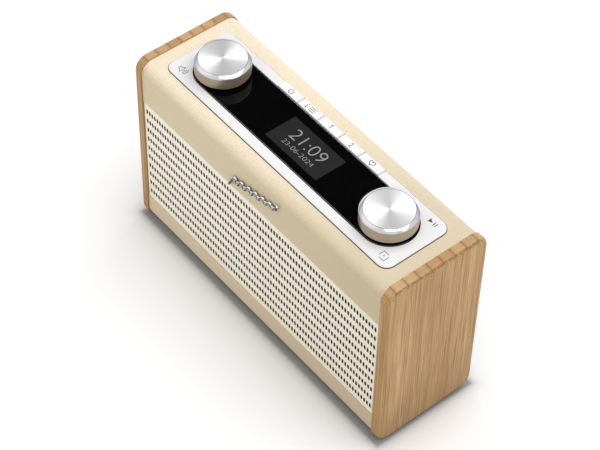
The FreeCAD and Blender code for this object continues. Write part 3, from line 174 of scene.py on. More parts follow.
def leatherette():
    """Cream coated cloth: fine pebble, pores and soft waves, with painted light on top and painted shade
    in its creases and to the right.
    """
    material, tree = new_tree("leatherette")
    wander = tree.noise(tree.per_metre(900, 900, 900), 2.0)
    warped = tree.vector("ADD", tree.per_metre(1500, 1500, 1500), tree.gather(wander, wander, wander))
    crease = tree.remap(tree.cells(warped, "DISTANCE_TO_EDGE"), 0.0, 0.16)
    pores = tree.noise(tree.per_metre(5200, 5200, 5200), 2.0)
    clouds = tree.noise(tree.per_metre(16, 16, 16), 4.0, 0.6)
    slack = tree.noise(tree.per_metre(26, 60, 60), 2.0)
    colour = tree.mix(clouds, tone(222, 205, 171), tone(214, 197, 163))
    facing = tree.axes(tree.add("ShaderNodeNewGeometry").outputs["Normal"])
    # painted light: faces turned upwards are lightened, as if more light fell on them
    painted_top_light = tree.remap(facing[2], 0.1, 0.95)
    colour = tree.mix(painted_top_light, colour, tree.mix(clouds, tone(240, 227, 202), tone(234, 220, 194)))
    # painted shade: the cloth darkens towards the right, where its sheen fades
    painted_right_shade = tree.remap(tree.axes()[0], PAINTED_SHADE_FROM, CAD_BOX[1][0], 0.0, 0.50)
    colour = tree.mix(painted_right_shade, colour, tone(178, 160, 128))
    # painted shade in the creases of the pebble grain
    colour = tree.mix(tree.math("MULTIPLY_ADD", crease, -0.45, 0.45), colour, tone(192, 172, 136))
    rubbed = tree.math("MULTIPLY", tree.edges(3.0 * MM), tree.noise(tree.per_metre(240, 240, 240)))
    colour = tree.mix(tree.math("MULTIPLY", rubbed, 0.35), colour, tone(234, 223, 202))
    waves = tree.relief(slack, 0.9 * MM)
    pebble = tree.relief(crease, 0.045 * MM, waves)
    normal = tree.relief(pores, 0.02 * MM, pebble)
    tree.finish({"Base Color": colour, "Normal": normal,
                 "Roughness": tree.remap(pores, 0.2, 0.8, 0.46, 0.62),
                 "Specular IOR Level": 0.4, "Sheen Weight": 0.06, "Sheen Roughness": 0.5})
    return material


def laminated_wood():
    """Pressed bamboo: nine upright strips with glued seams, each with its own tone and fibres; painted
    shade darkens it low down and near the joints of the end-grain blocks.
    """
    material, tree = new_tree("laminated_wood")
    low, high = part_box("end_panel_right")
    strips_deep = 8.6       # how many whole strips the depth of the panel holds
    first_cut = 0.3         # share of the first strip that is planed away
    width = (high.y - low.y) / strips_deep
    x, y, z = tree.axes()
    across = tree.math("DIVIDE", tree.math("SUBTRACT", y, low.y - first_cut * width), width)
    strip = tree.math("FLOOR", across)
    side = tree.math("SIGN", x)
    share = tree.math("FRACT", across)
    dice = tree.add("ShaderNodeTexWhiteNoise", {"Vector": tree.gather(strip, side, 3.0)},
                    noise_dimensions="3D")
    luck, lucks = dice.outputs["Value"], tree.axes(dice.outputs["Color"])
    own = tree.vector("SCALE", dice.outputs["Color"])
    own.node.inputs["Scale"].default_value = 40.0

    grain = tree.vector("ADD", tree.per_metre(950, 950, 14), own)
    fibres = tree.noise(grain, 3.0, 0.6, 0.4)
    threads = tree.noise(tree.vector("ADD", tree.per_metre(2600, 2600, 22), own), 2.0, 0.55)
    bands = tree.noise(tree.per_metre(110, 110, 7), 3.0, 0.6)
    facing = tree.axes(tree.add("ShaderNodeNewGeometry").outputs["Normal"])
    outward = tree.math("ABSOLUTE", facing[0])
    upward = tree.math("ABSOLUTE", facing[2])
    cut_end = tree.remap(upward, 0.55, 0.80)
    plain = tree.remap(outward, 0.70, 0.95)

    blend = tree.mix(plain, luck, tree.math("MULTIPLY_ADD", luck, 0.25, 0.38))
    colour = tree.mix(blend, tone(203, 168, 112), tone(180, 143, 88))
    colour = tree.mix(tree.remap(bands, 0.35, 0.62), colour, tone(178, 139, 84))
    colour = tree.mix(tree.remap(fibres, 0.45, 0.66, 0.0, 0.80), colour, tone(156, 115, 64))
    colour = tree.mix(tree.remap(threads, 0.50, 0.66, 0.0, 0.85), colour, tone(128, 89, 47))
    # painted shade: the panel darkens towards the bottom, where less light reaches it
    painted_low_shade = tree.remap(z, low.z, low.z + 60.0 * MM, 0.35, 0.0)
    colour = tree.mix(painted_low_shade, colour, tone(141, 108, 65))

    sway = tree.vector("SCALE", tree.gather(fibres, bands, threads))
    sway.node.inputs["Scale"].default_value = 0.5
    knots = tree.cells(tree.vector("ADD", tree.per_metre(24, 24, 13), sway))
    colour = tree.mix(tree.remap(knots, 0.03, 0.10, 0.55, 0.0), colour, tone(107, 71, 35))

    dots = tree.remap(tree.cells(tree.per_metre(1300, 1300, 30)), 0.12, 0.42, 1.0, 0.0)
    end_tone = tree.mix(luck, tone(194, 160, 114), tone(169, 132, 86))
    end_tone = tree.mix(tree.math("MULTIPLY", lucks[1], 0.5), end_tone, tone(192, 151, 97))
    end_tone = tree.mix(tree.math("MULTIPLY", dots, 0.55), end_tone, tone(124, 87, 49))
    off_middle = tree.math("ABSOLUTE", tree.math("SUBTRACT", share, 0.5))
    # painted shade near the joints, so that each end-grain block looks rounded
    painted_block_shade = tree.remap(off_middle, 0.25, 0.5)
    end_tone = tree.mix(tree.math("MULTIPLY", painted_block_shade, 0.4), end_tone, tone(132, 91, 48))
    colour = tree.mix(tree.math("MULTIPLY", cut_end, 0.85), colour, end_tone)

    ragged = tree.noise(tree.per_metre(420, 420, 420), 3.0)
    rim = tree.math("MULTIPLY", tree.math("MULTIPLY", outward, upward), 2.0)    # 1 at 45 degrees
    rim = tree.math("MULTIPLY", tree.remap(rim, 0.72, 0.98), tree.remap(ragged, 0.30, 0.50))
    colour = tree.mix(tree.math("MULTIPLY", rim, 0.6), colour, tone(121, 82, 46))

    seam = tree.remap(off_middle, 0.462, 0.5)
    seam = tree.math("MULTIPLY", seam, tree.remap(plain, 0.0, 1.0, 1.0, 0.22))
    colour = tree.mix(tree.math("MULTIPLY", seam, 0.78), colour, tone(98, 64, 34))
    worn = tree.edges(1.2 * MM)
    colour = tree.mix(tree.math("MULTIPLY", worn, 0.15), colour, tone(212, 183, 134))

    height = tree.math("SUBTRACT", tree.math("MULTIPLY", fibres, 0.5), seam)
    normal = tree.relief(height, 0.12 * MM, tree.relief(threads, 0.02 * MM))
    tree.finish({"Base Color": colour, "Normal": normal,
                 "Roughness": tree.remap(fibres, 0.3, 0.8, 0.40, 0.60), "Specular IOR Level": 0.4})
    return material


def spun_metal():
    """Turned aluminium face: rings cut by the lathe tool, so the shine fans out in wedges."""
    material, tree = new_tree("spun_metal")
    x, y, _ = tree.axes()
    knob = middle("volume_knob_cap")
    over = tree.math("SUBTRACT", tree.math("ABSOLUTE", x), abs(knob.x))
    along = tree.math("SUBTRACT", y, knob.y)
    radius = tree.vector("LENGTH", tree.gather(over, along, 0.0), output="Value")
    rings = tree.noise(tree.gather(tree.math("MULTIPLY", radius, 5200), 0.0, 0.0), 3.0, 0.7)
    dust = tree.noise(tree.per_metre(700, 700, 700), 3.0)
    colour = tree.mix(rings, tone(243, 243, 244), tone(231, 231, 233))
    colour = tree.mix(tree.remap(dust, 0.55, 0.8, 0.0, 0.15), colour, tone(214, 213, 212))
    tangent = tree.add("ShaderNodeTangent", direction_type="RADIAL", axis="Z").outputs[0]
    tree.finish({"Base Color": colour, "Metallic": 1.0, "Anisotropic": 0.92, "Tangent": tangent,
                 "Roughness": tree.remap(rings, 0.2, 0.8, 0.44, 0.52),
                 "Normal": tree.relief(rings, 0.004 * MM)})
    return material


def cut_metal():
    """The bright diamond-cut bevel round a spun cap."""
    material, tree = new_tree("cut_metal")
    smear = tree.noise(tree.per_metre(420, 420, 1600), 3.0)
    colour = tree.mix(smear, tone(232, 232, 234), tone(216, 216, 219))
    tree.finish({"Base Color": colour, "Metallic": 1.0,
                 "Roughness": tree.remap(smear, 0.3, 0.8, 0.10, 0.22),
                 "Normal": tree.relief(smear, 0.006 * MM)})
    return material


def plated_steel():
    """Plated steel with smears, fine scratches and rubbed edges."""
    material, tree = new_tree("plated_steel")
    smear = tree.noise(tree.per_metre(130, 130, 130), 4.0, 0.6)
    scratch = tree.noise(tree.per_metre(4200, 900, 4200), 2.0, 0.6, 0.6)
    colour = tree.mix(smear, tone(206, 205, 200), tone(176, 175, 170))
    rub = tree.math("MULTIPLY", tree.edges(0.6 * MM), tree.noise(tree.per_metre(500, 500, 500)))
    colour = tree.mix(tree.math("MULTIPLY", rub, 0.4), colour, tone(240, 240, 242))
    tree.finish({"Base Color": colour, "Metallic": 1.0,
                 "Roughness": tree.remap(tree.math("ADD", smear, scratch), 0.7, 1.3, 0.25, 0.42),
                 "Normal": tree.relief(scratch, 0.01 * MM)})
    return material


def grille_paint():
    """Cream powder coat, with painted shade towards the right and painted shade on the punched walls of
    the slots.
    """
    material, tree = new_tree("grille_paint")
    low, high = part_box("front_grille")
    grain = tree.noise(tree.per_metre(3300, 3300, 3300), 3.0, 0.6)
    cloud = tree.noise(tree.per_metre(38, 38, 38), 3.0)
    x, _, z = tree.axes()
    colour = tree.mix(cloud, tone(247, 239, 222), tone(241, 232, 213))
    # painted shade towards the right, as on the leatherette
    painted_right_shade = tree.remap(x, PAINTED_SHADE_FROM, high.x, 0.0, 0.3)
    colour = tree.mix(painted_right_shade, colour, tone(206, 194, 170))
    facing = tree.axes(tree.add("ShaderNodeNewGeometry").outputs["Normal"])
    # painted shade: the walls of the slots are coloured as dark as the shade inside them
    painted_slot_shade = tree.remap(tree.math("ABSOLUTE", facing[1]), 0.35, 0.75, 1.0, 0.0)
    border = 1.6 * MM
    for value, start, end in ((x, low.x, high.x), (z, low.z, high.z)):
        off = tree.math("ABSOLUTE", tree.math("SUBTRACT", value, (start + end) / 2))
        inner = (end - start) / 2 - border
        painted_slot_shade = tree.math("MULTIPLY", painted_slot_shade, tree.math("LESS_THAN", off, inner))
    colour = tree.mix(painted_slot_shade, colour, tone(42, 36, 25))
    tree.finish({"Base Color": colour, "Roughness": tree.remap(grain, 0.3, 0.7, 0.42, 0.58),
                 "Normal": tree.relief(grain, 0.012 * MM)})
    return material


def chrome():
    """Polished chrome with a painted reflection: bright on its backs and dark low on its flanks, broken
    up by a noise film.
    """
    material, tree = new_tree("chrome")
    film = tree.noise(tree.per_metre(900, 900, 900), 3.0)
    facing = tree.axes(tree.add("ShaderNodeNewGeometry").outputs["Normal"])[2]
    # painted reflection: bright where the chrome faces up, dark low on its flanks
    painted_shine = tree.remap(tree.math("MULTIPLY_ADD", film, 0.3, facing), 0.25, 0.95)
    tree.finish({"Base Color": tree.mix(painted_shine, tone(70, 70, 72), tone(240, 240, 242)),
                 "Metallic": 1.0, "Roughness": tree.remap(film, 0.3, 0.7, 0.05, 0.13),
                 "Normal": tree.relief(film, 0.004 * MM)})
    return material


def moulded(name, light, dark, roughness, pitch, depth, rubbed=None, **sockets):
    """Moulded plastic or rubber: eroded grain, cloudy tone, and edges rubbed to a tone if given."""
    material, tree = new_tree(name)
    units = 1.0 / (pitch * MM)
    grain = tree.noise(tree.per_metre(units, units, units), 3.0, 0.6)
    cloud = tree.noise(tree.per_metre(38, 38, 38), 3.0)
    speck = tree.remap(tree.noise(tree.per_metre(1900, 1900, 1900), 1.0), 0.66, 0.80)
    colour = tree.mix(cloud, light, dark)
    colour = tree.mix(tree.math("MULTIPLY", speck, 0.35), colour, dark)
    if rubbed:
        colour = tree.mix(tree.math("MULTIPLY", tree.edges(0.7 * MM), 0.35), colour, rubbed)
    inputs = {"Base Color": colour, "Roughness": tree.remap(grain, 0.3, 0.7, *roughness),
              "Normal": tree.relief(grain, depth * MM)}
    inputs.update(sockets)
    tree.finish(inputs)
    return material


def lens_black():
    """Black gloss acrylic with a few dust specks and wiped smears."""
    material, tree = new_tree("lens_black")
    smear = tree.noise(tree.per_metre(60, 22, 60), 4.0, 0.6, 0.8)
    speck = tree.remap(tree.noise(tree.per_metre(2600, 2600, 2600), 1.0), 0.74, 0.80)
    colour = tree.mix(smear, tone(3, 3, 4), tone(9, 9, 10))
    colour = tree.mix(tree.math("MULTIPLY", speck, 0.18), colour, tone(120, 118, 114))
    tree.finish({"Base Color": colour, "IOR": 1.49, "Specular IOR Level": 0.22,
                 "Roughness": tree.remap(smear, 0.35, 0.75, 0.035, 0.085),
                 "Normal": tree.relief(smear, 0.02 * MM)})
    return material


def woven_cloth():
    """Plain weave: threads over and under each other, with painted shade in the dips between them."""
    material, tree = new_tree("cloth")
    thread_pitch = 0.55 * MM
    x, _, z = tree.axes()
    turn = math.pi / thread_pitch
    warp = tree.math("SINE", tree.math("MULTIPLY", x, turn))
    weft = tree.math("SINE", tree.math("MULTIPLY", z, turn))
    over = tree.math("MULTIPLY", warp, weft)
    slub = tree.noise(tree.per_metre(500, 500, 120), 3.0)
    height = tree.remap(tree.math("ADD", tree.math("ABSOLUTE", over), slub), 0.2, 1.6)
    # painted shade darkens the dips of the weave; the slubs add real unevenness
    tree.finish({"Base Color": tree.mix(height, tone(17, 14, 9), tone(38, 32, 22)),
                 "Roughness": 0.92, "Normal": tree.relief(height, 0.18 * MM)})
    return material


def raw_board():
    """Pressed fibreboard: brown flecks and a cut, hairy face."""
    material, tree = new_tree("board")
    flecks = tree.noise(tree.per_metre(900, 260, 900), 4.0, 0.7)
    dust = tree.noise(tree.per_metre(4000, 4000, 4000), 2.0)
    colour = tree.mix(tree.remap(flecks, 0.35, 0.7), tone(176, 142, 104), tone(132, 100, 68))
    colour = tree.mix(tree.math("MULTIPLY", dust, 0.3), colour, tone(96, 70, 46))
    tree.finish({"Base Color": colour, "Roughness": 0.88, "Normal": tree.relief(flecks, 0.08 * MM)})
    return material


def paper_pulp():
    """Pressed paper of the cone, with fibres and faint rings."""
    material, tree = new_tree("paper_pulp")
    fibre = tree.noise(tree.per_metre(1400, 1400, 1400), 5.0, 0.7, 1.2)
    colour = tree.mix(tree.remap(fibre, 0.35, 0.7), tone(58, 55, 52), tone(30, 29, 28))
    tree.finish({"Base Color": colour, "Roughness": 0.9, "Normal": tree.relief(fibre, 0.06 * MM)})
    return material


def foam():
    """Open cells of the gasket foam, with painted shade in their hollows."""
    material, tree = new_tree("foam")
    pores = tree.cells(tree.per_metre(1700, 1700, 1700))
    # painted shade: darker towards the middle of each cell, where the bump makes a hollow
    colour = tree.mix(tree.remap(pores, 0.1, 0.6), tone(34, 33, 33), tone(66, 64, 62))
    tree.finish({"Base Color": colour, "Roughness": 0.95, "Normal": tree.relief(pores, 0.12 * MM)})
    return material


def circuit_board():
    """Green solder mask over copper tracks, with tinned pads."""
    material, tree = new_tree("circuit_board")
    bricks = tree.add("ShaderNodeTexBrick", {
        "Vector": tree.place, "Scale": 260.0, "Mortar Size": 0.09, "Mortar Smooth": 0.1,
        "Color1": (1, 1, 1, 1), "Color2": (0.7, 0.7, 0.7, 1), "Mortar": (0, 0, 0, 1)})
    track = bricks.outputs["Fac"]
    pads = tree.remap(tree.cells(tree.per_metre(190, 190, 190)), 0.10, 0.13, 1.0, 0.0)
    colour = tree.mix(track, tone(22, 84, 50), tone(52, 122, 76))
    colour = tree.mix(tree.noise(tree.per_metre(40, 40, 40)), colour, tone(16, 66, 40))
    colour = tree.mix(pads, colour, tone(196, 192, 180))
    tree.finish({"Base Color": colour, "Roughness": tree.remap(pads, 0.0, 1.0, 0.42, 0.28),
                 "Metallic": pads, "Normal": tree.relief(tree.math("ADD", track, pads), 0.03 * MM)})
    return material


def lit(name, light, dark, glow, strength):
    """A lit part of the screen: pixels in rows and columns, under a faint haze."""
    material, tree = new_tree(name)
    pixel_pitch = 0.22 * MM
    x, y, _ = tree.axes()
    turn = math.pi / pixel_pitch
    rows = tree.math("ABSOLUTE", tree.math("SINE", tree.math("MULTIPLY", y, turn)))
    columns = tree.math("ABSOLUTE", tree.math("SINE", tree.math("MULTIPLY", x, turn)))
    pixel = tree.remap(tree.math("MULTIPLY", rows, columns), 0.0, 0.5)
    haze = tree.noise(tree.per_metre(70, 70, 70), 2.0)
    tree.finish({"Base Color": tree.mix(haze, light, dark), "Roughness": 0.12,
                 "Specular IOR Level": 0.3, "Emission Strength": strength,
                 "Emission Color": tree.mix(tree.math("MULTIPLY_ADD", pixel, 0.3, 0.7), dark, glow)})
    return material


def printed(name, light, dark):
    """Screen-printed ink: slightly uneven film with pinholes."""
    material, tree = new_tree(name)
    film = tree.noise(tree.per_metre(1500, 1500, 1500), 3.0)
    tree.finish({"Base Color": tree.mix(film, light, dark), "Normal": tree.relief(film, 0.01 * MM),
                 "Roughness": tree.remap(film, 0.3, 0.7, 0.42, 0.58)})
    return material


FINISHES = {
    "leatherette": leatherette(),
    "board": raw_board(),
    "laminated_wood": laminated_wood(),
    "grille_paint": grille_paint(),
    "cloth": woven_cloth(),
    "paper_pulp": paper_pulp(),
    "soft_rubber": moulded("soft_rubber", tone(40, 40, 41), tone(26, 26, 27),
                           (0.7, 0.9), pitch=0.5, depth=0.04),
    "foam": foam(),
    "plated_steel": plated_steel(),
    "magnet": moulded("magnet", tone(52, 52, 54), tone(34, 34, 36),
                      (0.5, 0.72), pitch=0.4, depth=0.05, rubbed=tone(84, 84, 86)),
    "chrome": chrome(),
    "spun_metal": spun_metal(),
    "white_plastic": moulded("white_plastic", tone(224, 224, 225), tone(218, 218, 219),
                             (0.30, 0.42), pitch=0.30, depth=0.006, rubbed=tone(234, 234, 234)),
    "key_plastic": moulded("key_plastic", tone(230, 230, 231), tone(224, 224, 225),
                           (0.30, 0.40), pitch=0.28, depth=0.006, rubbed=tone(242, 242, 242)),
    "lens_black": lens_black(),
    "screen_glass": lit("screen_glass", tone(30, 30, 31), tone(18, 18, 19),
                        glow=tone(60, 60, 60), strength=0.3),
    "knob_lacquer": moulded("knob_lacquer", tone(178, 162, 138), tone(164, 147, 122),
                            (0.26, 0.36), pitch=0.22, depth=0.006, rubbed=tone(214, 200, 176),
                            Metallic=0.55),
    "cover_plastic": moulded("cover_plastic", tone(44, 43, 42), tone(33, 32, 32),
                             (0.55, 0.78), pitch=0.42, depth=0.05, rubbed=tone(66, 65, 63)),
    "circuit_board": circuit_board(),
    "black_plastic": moulded("black_plastic", tone(36, 36, 37), tone(24, 24, 25),
                             (0.38, 0.55), pitch=0.30, depth=0.02, rubbed=tone(60, 60, 61)),
    "cable_skin": moulded("cable_skin", tone(150, 152, 156), tone(122, 124, 128),
                          (0.4, 0.6), pitch=0.6, depth=0.03),
    "lead_skin": moulded("lead_skin", tone(150, 34, 30), tone(112, 22, 20),
                         (0.35, 0.5), pitch=0.5, depth=0.02),
}


def dress_nodes():
    """Give every CAD node the finish of its slot."""
    for node in NODES.values():
        for place in node.material_slots:
            wanted = (place.material.name if place.material else "").split(".")[0]
            if wanted in FINISHES:
                place.material = FINISHES[wanted]


# ---------------------------------------------------------------- studio
CAMERA_AT = Vector((0.5737, -0.49115, 0.9414))
CAMERA_AZIMUTH = 49.69
CAMERA_ELEVATION = 49.37
CAMERA_ROLL = 1.52
CAMERA_LENS_MM = 122.1


def place_camera():
    """A long lens that looks down on the front right corner."""
    azimuth = math.radians(CAMERA_AZIMUTH)
    elevation = math.radians(CAMERA_ELEVATION)
    ahead = Vector((-math.sin(azimuth) * math.cos(elevation),
                    math.cos(azimuth) * math.cos(elevation), -math.sin(elevation)))
    turn = ahead.to_track_quat("-Z", "Y").to_matrix().to_4x4()
    roll = Matrix.Rotation(math.radians(CAMERA_ROLL), 4, "Z")
    data = bpy.data.cameras.new("camera")
    data.lens = CAMERA_LENS_MM
    data.clip_start = 0.01
    camera = bpy.data.objects.new("camera", data)
    SCENE.collection.objects.link(camera)
    camera.matrix_world = Matrix.Translation(CAMERA_AT) @ turn @ roll
    SCENE.camera = camera


def hang_softbox(name, at, towards, size, radiance):
    """A rectangular softbox of even brightness that the camera itself does not see."""
    data = bpy.data.lights.new(name, "AREA")
    data.shape = "RECTANGLE"
    data.size, data.size_y = size
    data.energy = radiance * math.pi * size[0] * size[1]
    light = bpy.data.objects.new(name, data)
    SCENE.collection.objects.link(light)
    light.location = at
    light.rotation_mode = "QUATERNION"
    light.rotation_quaternion = (Vector(towards) - Vector(at)).to_track_quat("-Z", "Y")
    light.visible_camera = False


KEY_LIGHT_AT = (0.35, 0.50, 2.2)
KEY_LIGHT_AIM = (0, 0, 0.1)
KEY_LIGHT_SIZE = (2.6, 2.2)
KEY_LIGHT_RADIANCE = 1.95
DOME_LEVEL = 0.80
LOW_DOME_LEVEL = 0.22
BACKDROP_LEVEL = 1.0    # a white strip along the horizon, behind the floor
# direction, outer and inner half angle in degrees, brightness against the dome
PATCHES = [((-0.497, 0.421, 0.759), 12.0, 7.5, 0.03),
           ((-0.480, -0.290, 0.828), 32.0, 20.0, 1.35),
           ((0.562, 0.103, 0.820), 13.0, 8.0, 0.08)]


def light_room():
    """A pale dome, darker low down, with a white backdrop, black flags and one bright card."""
    world = bpy.data.worlds.new("studio")
    SCENE.world = world
    tree = Tree(world, "Generated")
    height = tree.axes(tree.vector("NORMALIZE", tree.place))[2]
    level = tree.remap(height, 0.02, 0.45, LOW_DOME_LEVEL, DOME_LEVEL)
    level = tree.math("ADD", level, tree.remap(height, 0.07, 0.14, BACKDROP_LEVEL - LOW_DOME_LEVEL, 0.0))
    for towards, outer, inner, factor in PATCHES:
        near = tree.vector("DOT_PRODUCT", tree.place, towards, "Value")
        inside, outside = math.cos(math.radians(inner)), math.cos(math.radians(outer))
        level = tree.math("MULTIPLY", level, tree.remap(near, outside, inside, 1.0, factor))
    background = tree.add("ShaderNodeBackground", {"Color": (1, 1, 1, 1), "Strength": level})
    tree.add("ShaderNodeOutputWorld", {"Surface": background.outputs[0]})
    hang_softbox("key_softbox", KEY_LIGHT_AT, KEY_LIGHT_AIM, KEY_LIGHT_SIZE, KEY_LIGHT_RADIANCE)


FLOOR_HALF = 20.0
FLOOR_GAIN = 1.01       # the floor is a little brighter than its own tone
FAR_FLOOR_GAIN = 2.0    # and more so away from the radio, where the softbox gives less light
FAR_FLOOR = (0.5, 3.5)  # from where and to where that gain grows
# painted contact shadow: share of light kept out, and over what distance in metres it comes back
CONTACT_SHADE = [(0.50, 2.2 * MM), (0.15, 9.0 * MM)]


def lay_floor():
    """A white floor with a painted contact shadow close to the radio, where the narrow gap under it
    keeps light out.
    """
    data = bpy.data.meshes.new("floor")
    corners = [(u * FLOOR_HALF, v * FLOOR_HALF, 0) for u, v in ((-1, -1), (1, -1), (1, 1), (-1, 1))]
    data.from_pydata(corners, [], [(0, 1, 2, 3)])
    floor = bpy.data.objects.new("floor", data)
    SCENE.collection.objects.link(floor)
    material, tree = new_tree("floor")
    low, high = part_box("end_panel_right")
    x, y, _ = tree.axes()
    beside = tree.math("MAXIMUM", tree.math("SUBTRACT", tree.math("ABSOLUTE", x), high.x), 0.0)
    off = tree.math("ABSOLUTE", tree.math("SUBTRACT", y, (low.y + high.y) / 2))
    before = tree.math("MAXIMUM", tree.math("SUBTRACT", off, (high.y - low.y) / 2), 0.0)
    away = tree.vector("LENGTH", tree.gather(beside, before, 0.0), output="Value")
    level = FLOOR_GAIN
    for share, fade in CONTACT_SHADE:
        near = tree.math("EXPONENT", tree.math("MULTIPLY", away, -1.0 / fade))
        level = tree.math("SUBTRACT", level, tree.math("MULTIPLY", near, share))
    reach_out = tree.vector("LENGTH", tree.place, output="Value")
    level = tree.math("MULTIPLY", level, tree.remap(reach_out, *FAR_FLOOR, 1.0, FAR_FLOOR_GAIN))
    cloud = tree.noise(tree.per_metre(3, 3, 3))
    colour = tree.mix(cloud, tone(246, 246, 246), tone(243, 243, 244))
    bright = tree.vector("MULTIPLY", colour, tree.gather(level, level, level))
    tree.finish({"Base Color": bright, "Roughness": 0.9, "Specular IOR Level": 0.1})
    data.materials.append(material)


# ---------------------------------------------------------------- mesh helpers
def add_piece(name, data, finish, body):
    """Put a mesh into the scene as a piece of the radio."""
    piece = bpy.data.objects.new(name, data)
    SCENE.collection.objects.link(piece)
    if finish is not None:
        data.materials.append(finish)
    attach(piece, body)
    return piece


def soften(data, degrees):
    """Smooth shading, with creases where faces meet at a larger angle."""
    for face in data.polygons:
        face.use_smooth = True
    data.set_sharp_from_angle(angle=math.radians(degrees))


def turned(name, profile, centre, finishes, body, segments=160):
    """A lathe-turned piece: profile is (radius, height, finish of the band that follows)."""
    corners, faces, bands = [], [], []
    for radius, height, _ in profile:
        for step in range(segments):
            angle = 2 * math.pi * step / segments
            corners.append((centre.x + radius * math.cos(angle),
                            centre.y + radius * math.sin(angle), height))
    for ring in range(len(profile) - 1):
        for step in range(segments):
            after = (step + 1) % segments
            lower, upper = ring * segments, (ring + 1) * segments
            faces.append((lower + step, lower + after, upper + after, upper + step))
            bands.append(profile[ring][2])
    last = (len(profile) - 1) * segments
    faces.append(tuple(range(last, last + segments)))
    bands.append(profile[-1][2])
    faces.append(tuple(range(segments - 1, -1, -1)))
    bands.append(profile[0][2])
    data = bpy.data.meshes.new(name)
    data.from_pydata(corners, [], faces)
    for finish in finishes:
        data.materials.append(finish)
    for face, band in zip(data.polygons, bands):
        face.material_index = band
    soften(data, 20.0)
    return add_piece(name, data, None, body)


class Drawing:
    """Flat marks of a small thickness on a face: drawn lines and filled shapes, in millimetres."""

    def __init__(self, origin, across=(1, 0, 0), up=(0, 1, 0), sink=0.02, rise=0.03):
        self.origin = Vector(origin)
        self.across = Vector(across)
        self.up = Vector(up)
        self.out = self.across.cross(self.up)
        self.levels = (-sink, rise)
        self.corners, self.faces = [], []

    def point(self, u, v, w):
        spot = self.origin + (self.across * u + self.up * v + self.out * w) * MM
        self.corners.append(tuple(spot))
        return len(self.corners) - 1

    def line(self, points, width, closed=False):
        """A line of one width with mitred corners."""
        count = len(points)
        rings = []
        for index, (u, v) in enumerate(points):
            before = points[index - 1] if closed or index else None
            after = points[(index + 1) % count] if closed or index < count - 1 else None
            sides = []
            for start, end in ((before, (u, v)), ((u, v), after)):
                if start is None or end is None:
                    continue
                span = Vector((end[0] - start[0], end[1] - start[1])).normalized()
                sides.append(Vector((-span.y, span.x)))
            mean = sum(sides, Vector((0, 0))).normalized()
            mean *= width / 2 / max(mean.dot(sides[0]), 0.4)
            low, high = self.levels
            rings.append([self.point(u + s * mean.x, v + s * mean.y, w)
                          for s, w in ((1, low), (-1, low), (-1, high), (1, high))])
        pairs = list(zip(rings, rings[1:]))
        if closed:
            pairs.append((rings[-1], rings[0]))
        else:
            self.faces.append(tuple(rings[0]))
            self.faces.append(tuple(reversed(rings[-1])))
        for first, second in pairs:
            for side in range(4):
                ahead = (side + 1) % 4
                self.faces.append((first[ahead], first[side], second[side], second[ahead]))

    def fill(self, points):
        """A filled outline, counter-clockwise."""
        low, high = self.levels
        bottom = [self.point(u, v, low) for u, v in points]
        top = [self.point(u, v, high) for u, v in points]
        self.faces.append(tuple(reversed(bottom)))
        self.faces.append(tuple(top))
        for index in range(len(points)):
            after = (index + 1) % len(points)
            self.faces.append((bottom[index], bottom[after], top[after], top[index]))

    def done(self, name, finish, body, slot):
        data = bpy.data.meshes.new(name)
        data.from_pydata(self.corners, [], self.faces)
        return add_piece(name, data, finish, body)


def arc(radius, start, end, steps=24, centre=(0.0, 0.0)):
    """Points on an arc, angles in degrees from the right, counter-clockwise."""
    found = []
    for step in range(steps + 1):
        angle = math.radians(start + (end - start) * step / steps)
        found.append((centre[0] + radius * math.cos(angle), centre[1] + radius * math.sin(angle)))
    return found


def disc(radius, centre=(0.0, 0.0), steps=24):
    """A round outline, counter-clockwise."""
    return arc(radius, 0, 360 * (steps - 1) / steps, steps - 1, centre)


def rounded(half_u, half_v, radius):
    """A rectangle with round corners."""
    found = []
    for turn, (u, v) in enumerate(((1, 1), (-1, 1), (-1, -1), (1, -1))):
        middle_uv = (u * (half_u - radius), v * (half_v - radius))
        found += arc(radius, 90 * turn, 90 * turn + 90, 6, middle_uv)
    return found


def lettering(name, text, low, high, level, thickness, finish, body, weight=0.0):
    """Figures that fill a box on a level face; a weight below 0 thins their strokes."""
    curve = bpy.data.curves.new(name, "FONT")
    curve.body = text
    curve.resolution_u = 6
    curve.extrude = 0.5
    curve.offset = weight
    holder = bpy.data.objects.new(name + "_curve", curve)
    SCENE.collection.objects.link(holder)
    bpy.context.view_layer.update()
    shown = holder.evaluated_get(bpy.context.evaluated_depsgraph_get())
    data = bpy.data.meshes.new_from_object(shown)
    bpy.data.objects.remove(holder)
    spots = [corner.co.copy() for corner in data.vertices]
    start = Vector((min(s.x for s in spots), min(s.y for s in spots), -0.5))
    end = Vector((max(s.x for s in spots), max(s.y for s in spots), 0.5))
    for corner in data.vertices:
        share = corner.co - start
        corner.co = (low[0] + (high[0] - low[0]) * share.x / (end.x - start.x),
                     low[1] + (high[1] - low[1]) * share.y / (end.y - start.y),
                     level + thickness * (share.z - 0.4))
    data.name = name
    data.materials.clear()
    return add_piece(name, data, finish, body)


# ---------------------------------------------------------------- pieces
GREY_INK = printed("grey_ink", tone(88, 88, 92), tone(112, 112, 116))
DARK_INK = printed("dark_ink", tone(54, 54, 58), tone(76, 76, 80))
# pale ink for the rear marks, and also the painted highlight on the lens's edge
PALE_INK_AND_HIGHLIGHT = printed("pale_ink_and_highlight", tone(150, 148, 144), tone(120, 118, 115))
CUT_METAL = cut_metal()
SCREEN_LIT = lit("screen_lit", tone(26, 26, 27), tone(16, 16, 17),
                 glow=tone(58, 58, 59), strength=0.40)
FIGURES_LIT = lit("figures_lit", tone(60, 60, 60), tone(90, 90, 90),
                  glow=tone(206, 206, 208), strength=0.46)
FIGURE_FILM = 0.05 * MM     # thickness of a printed or lit figure


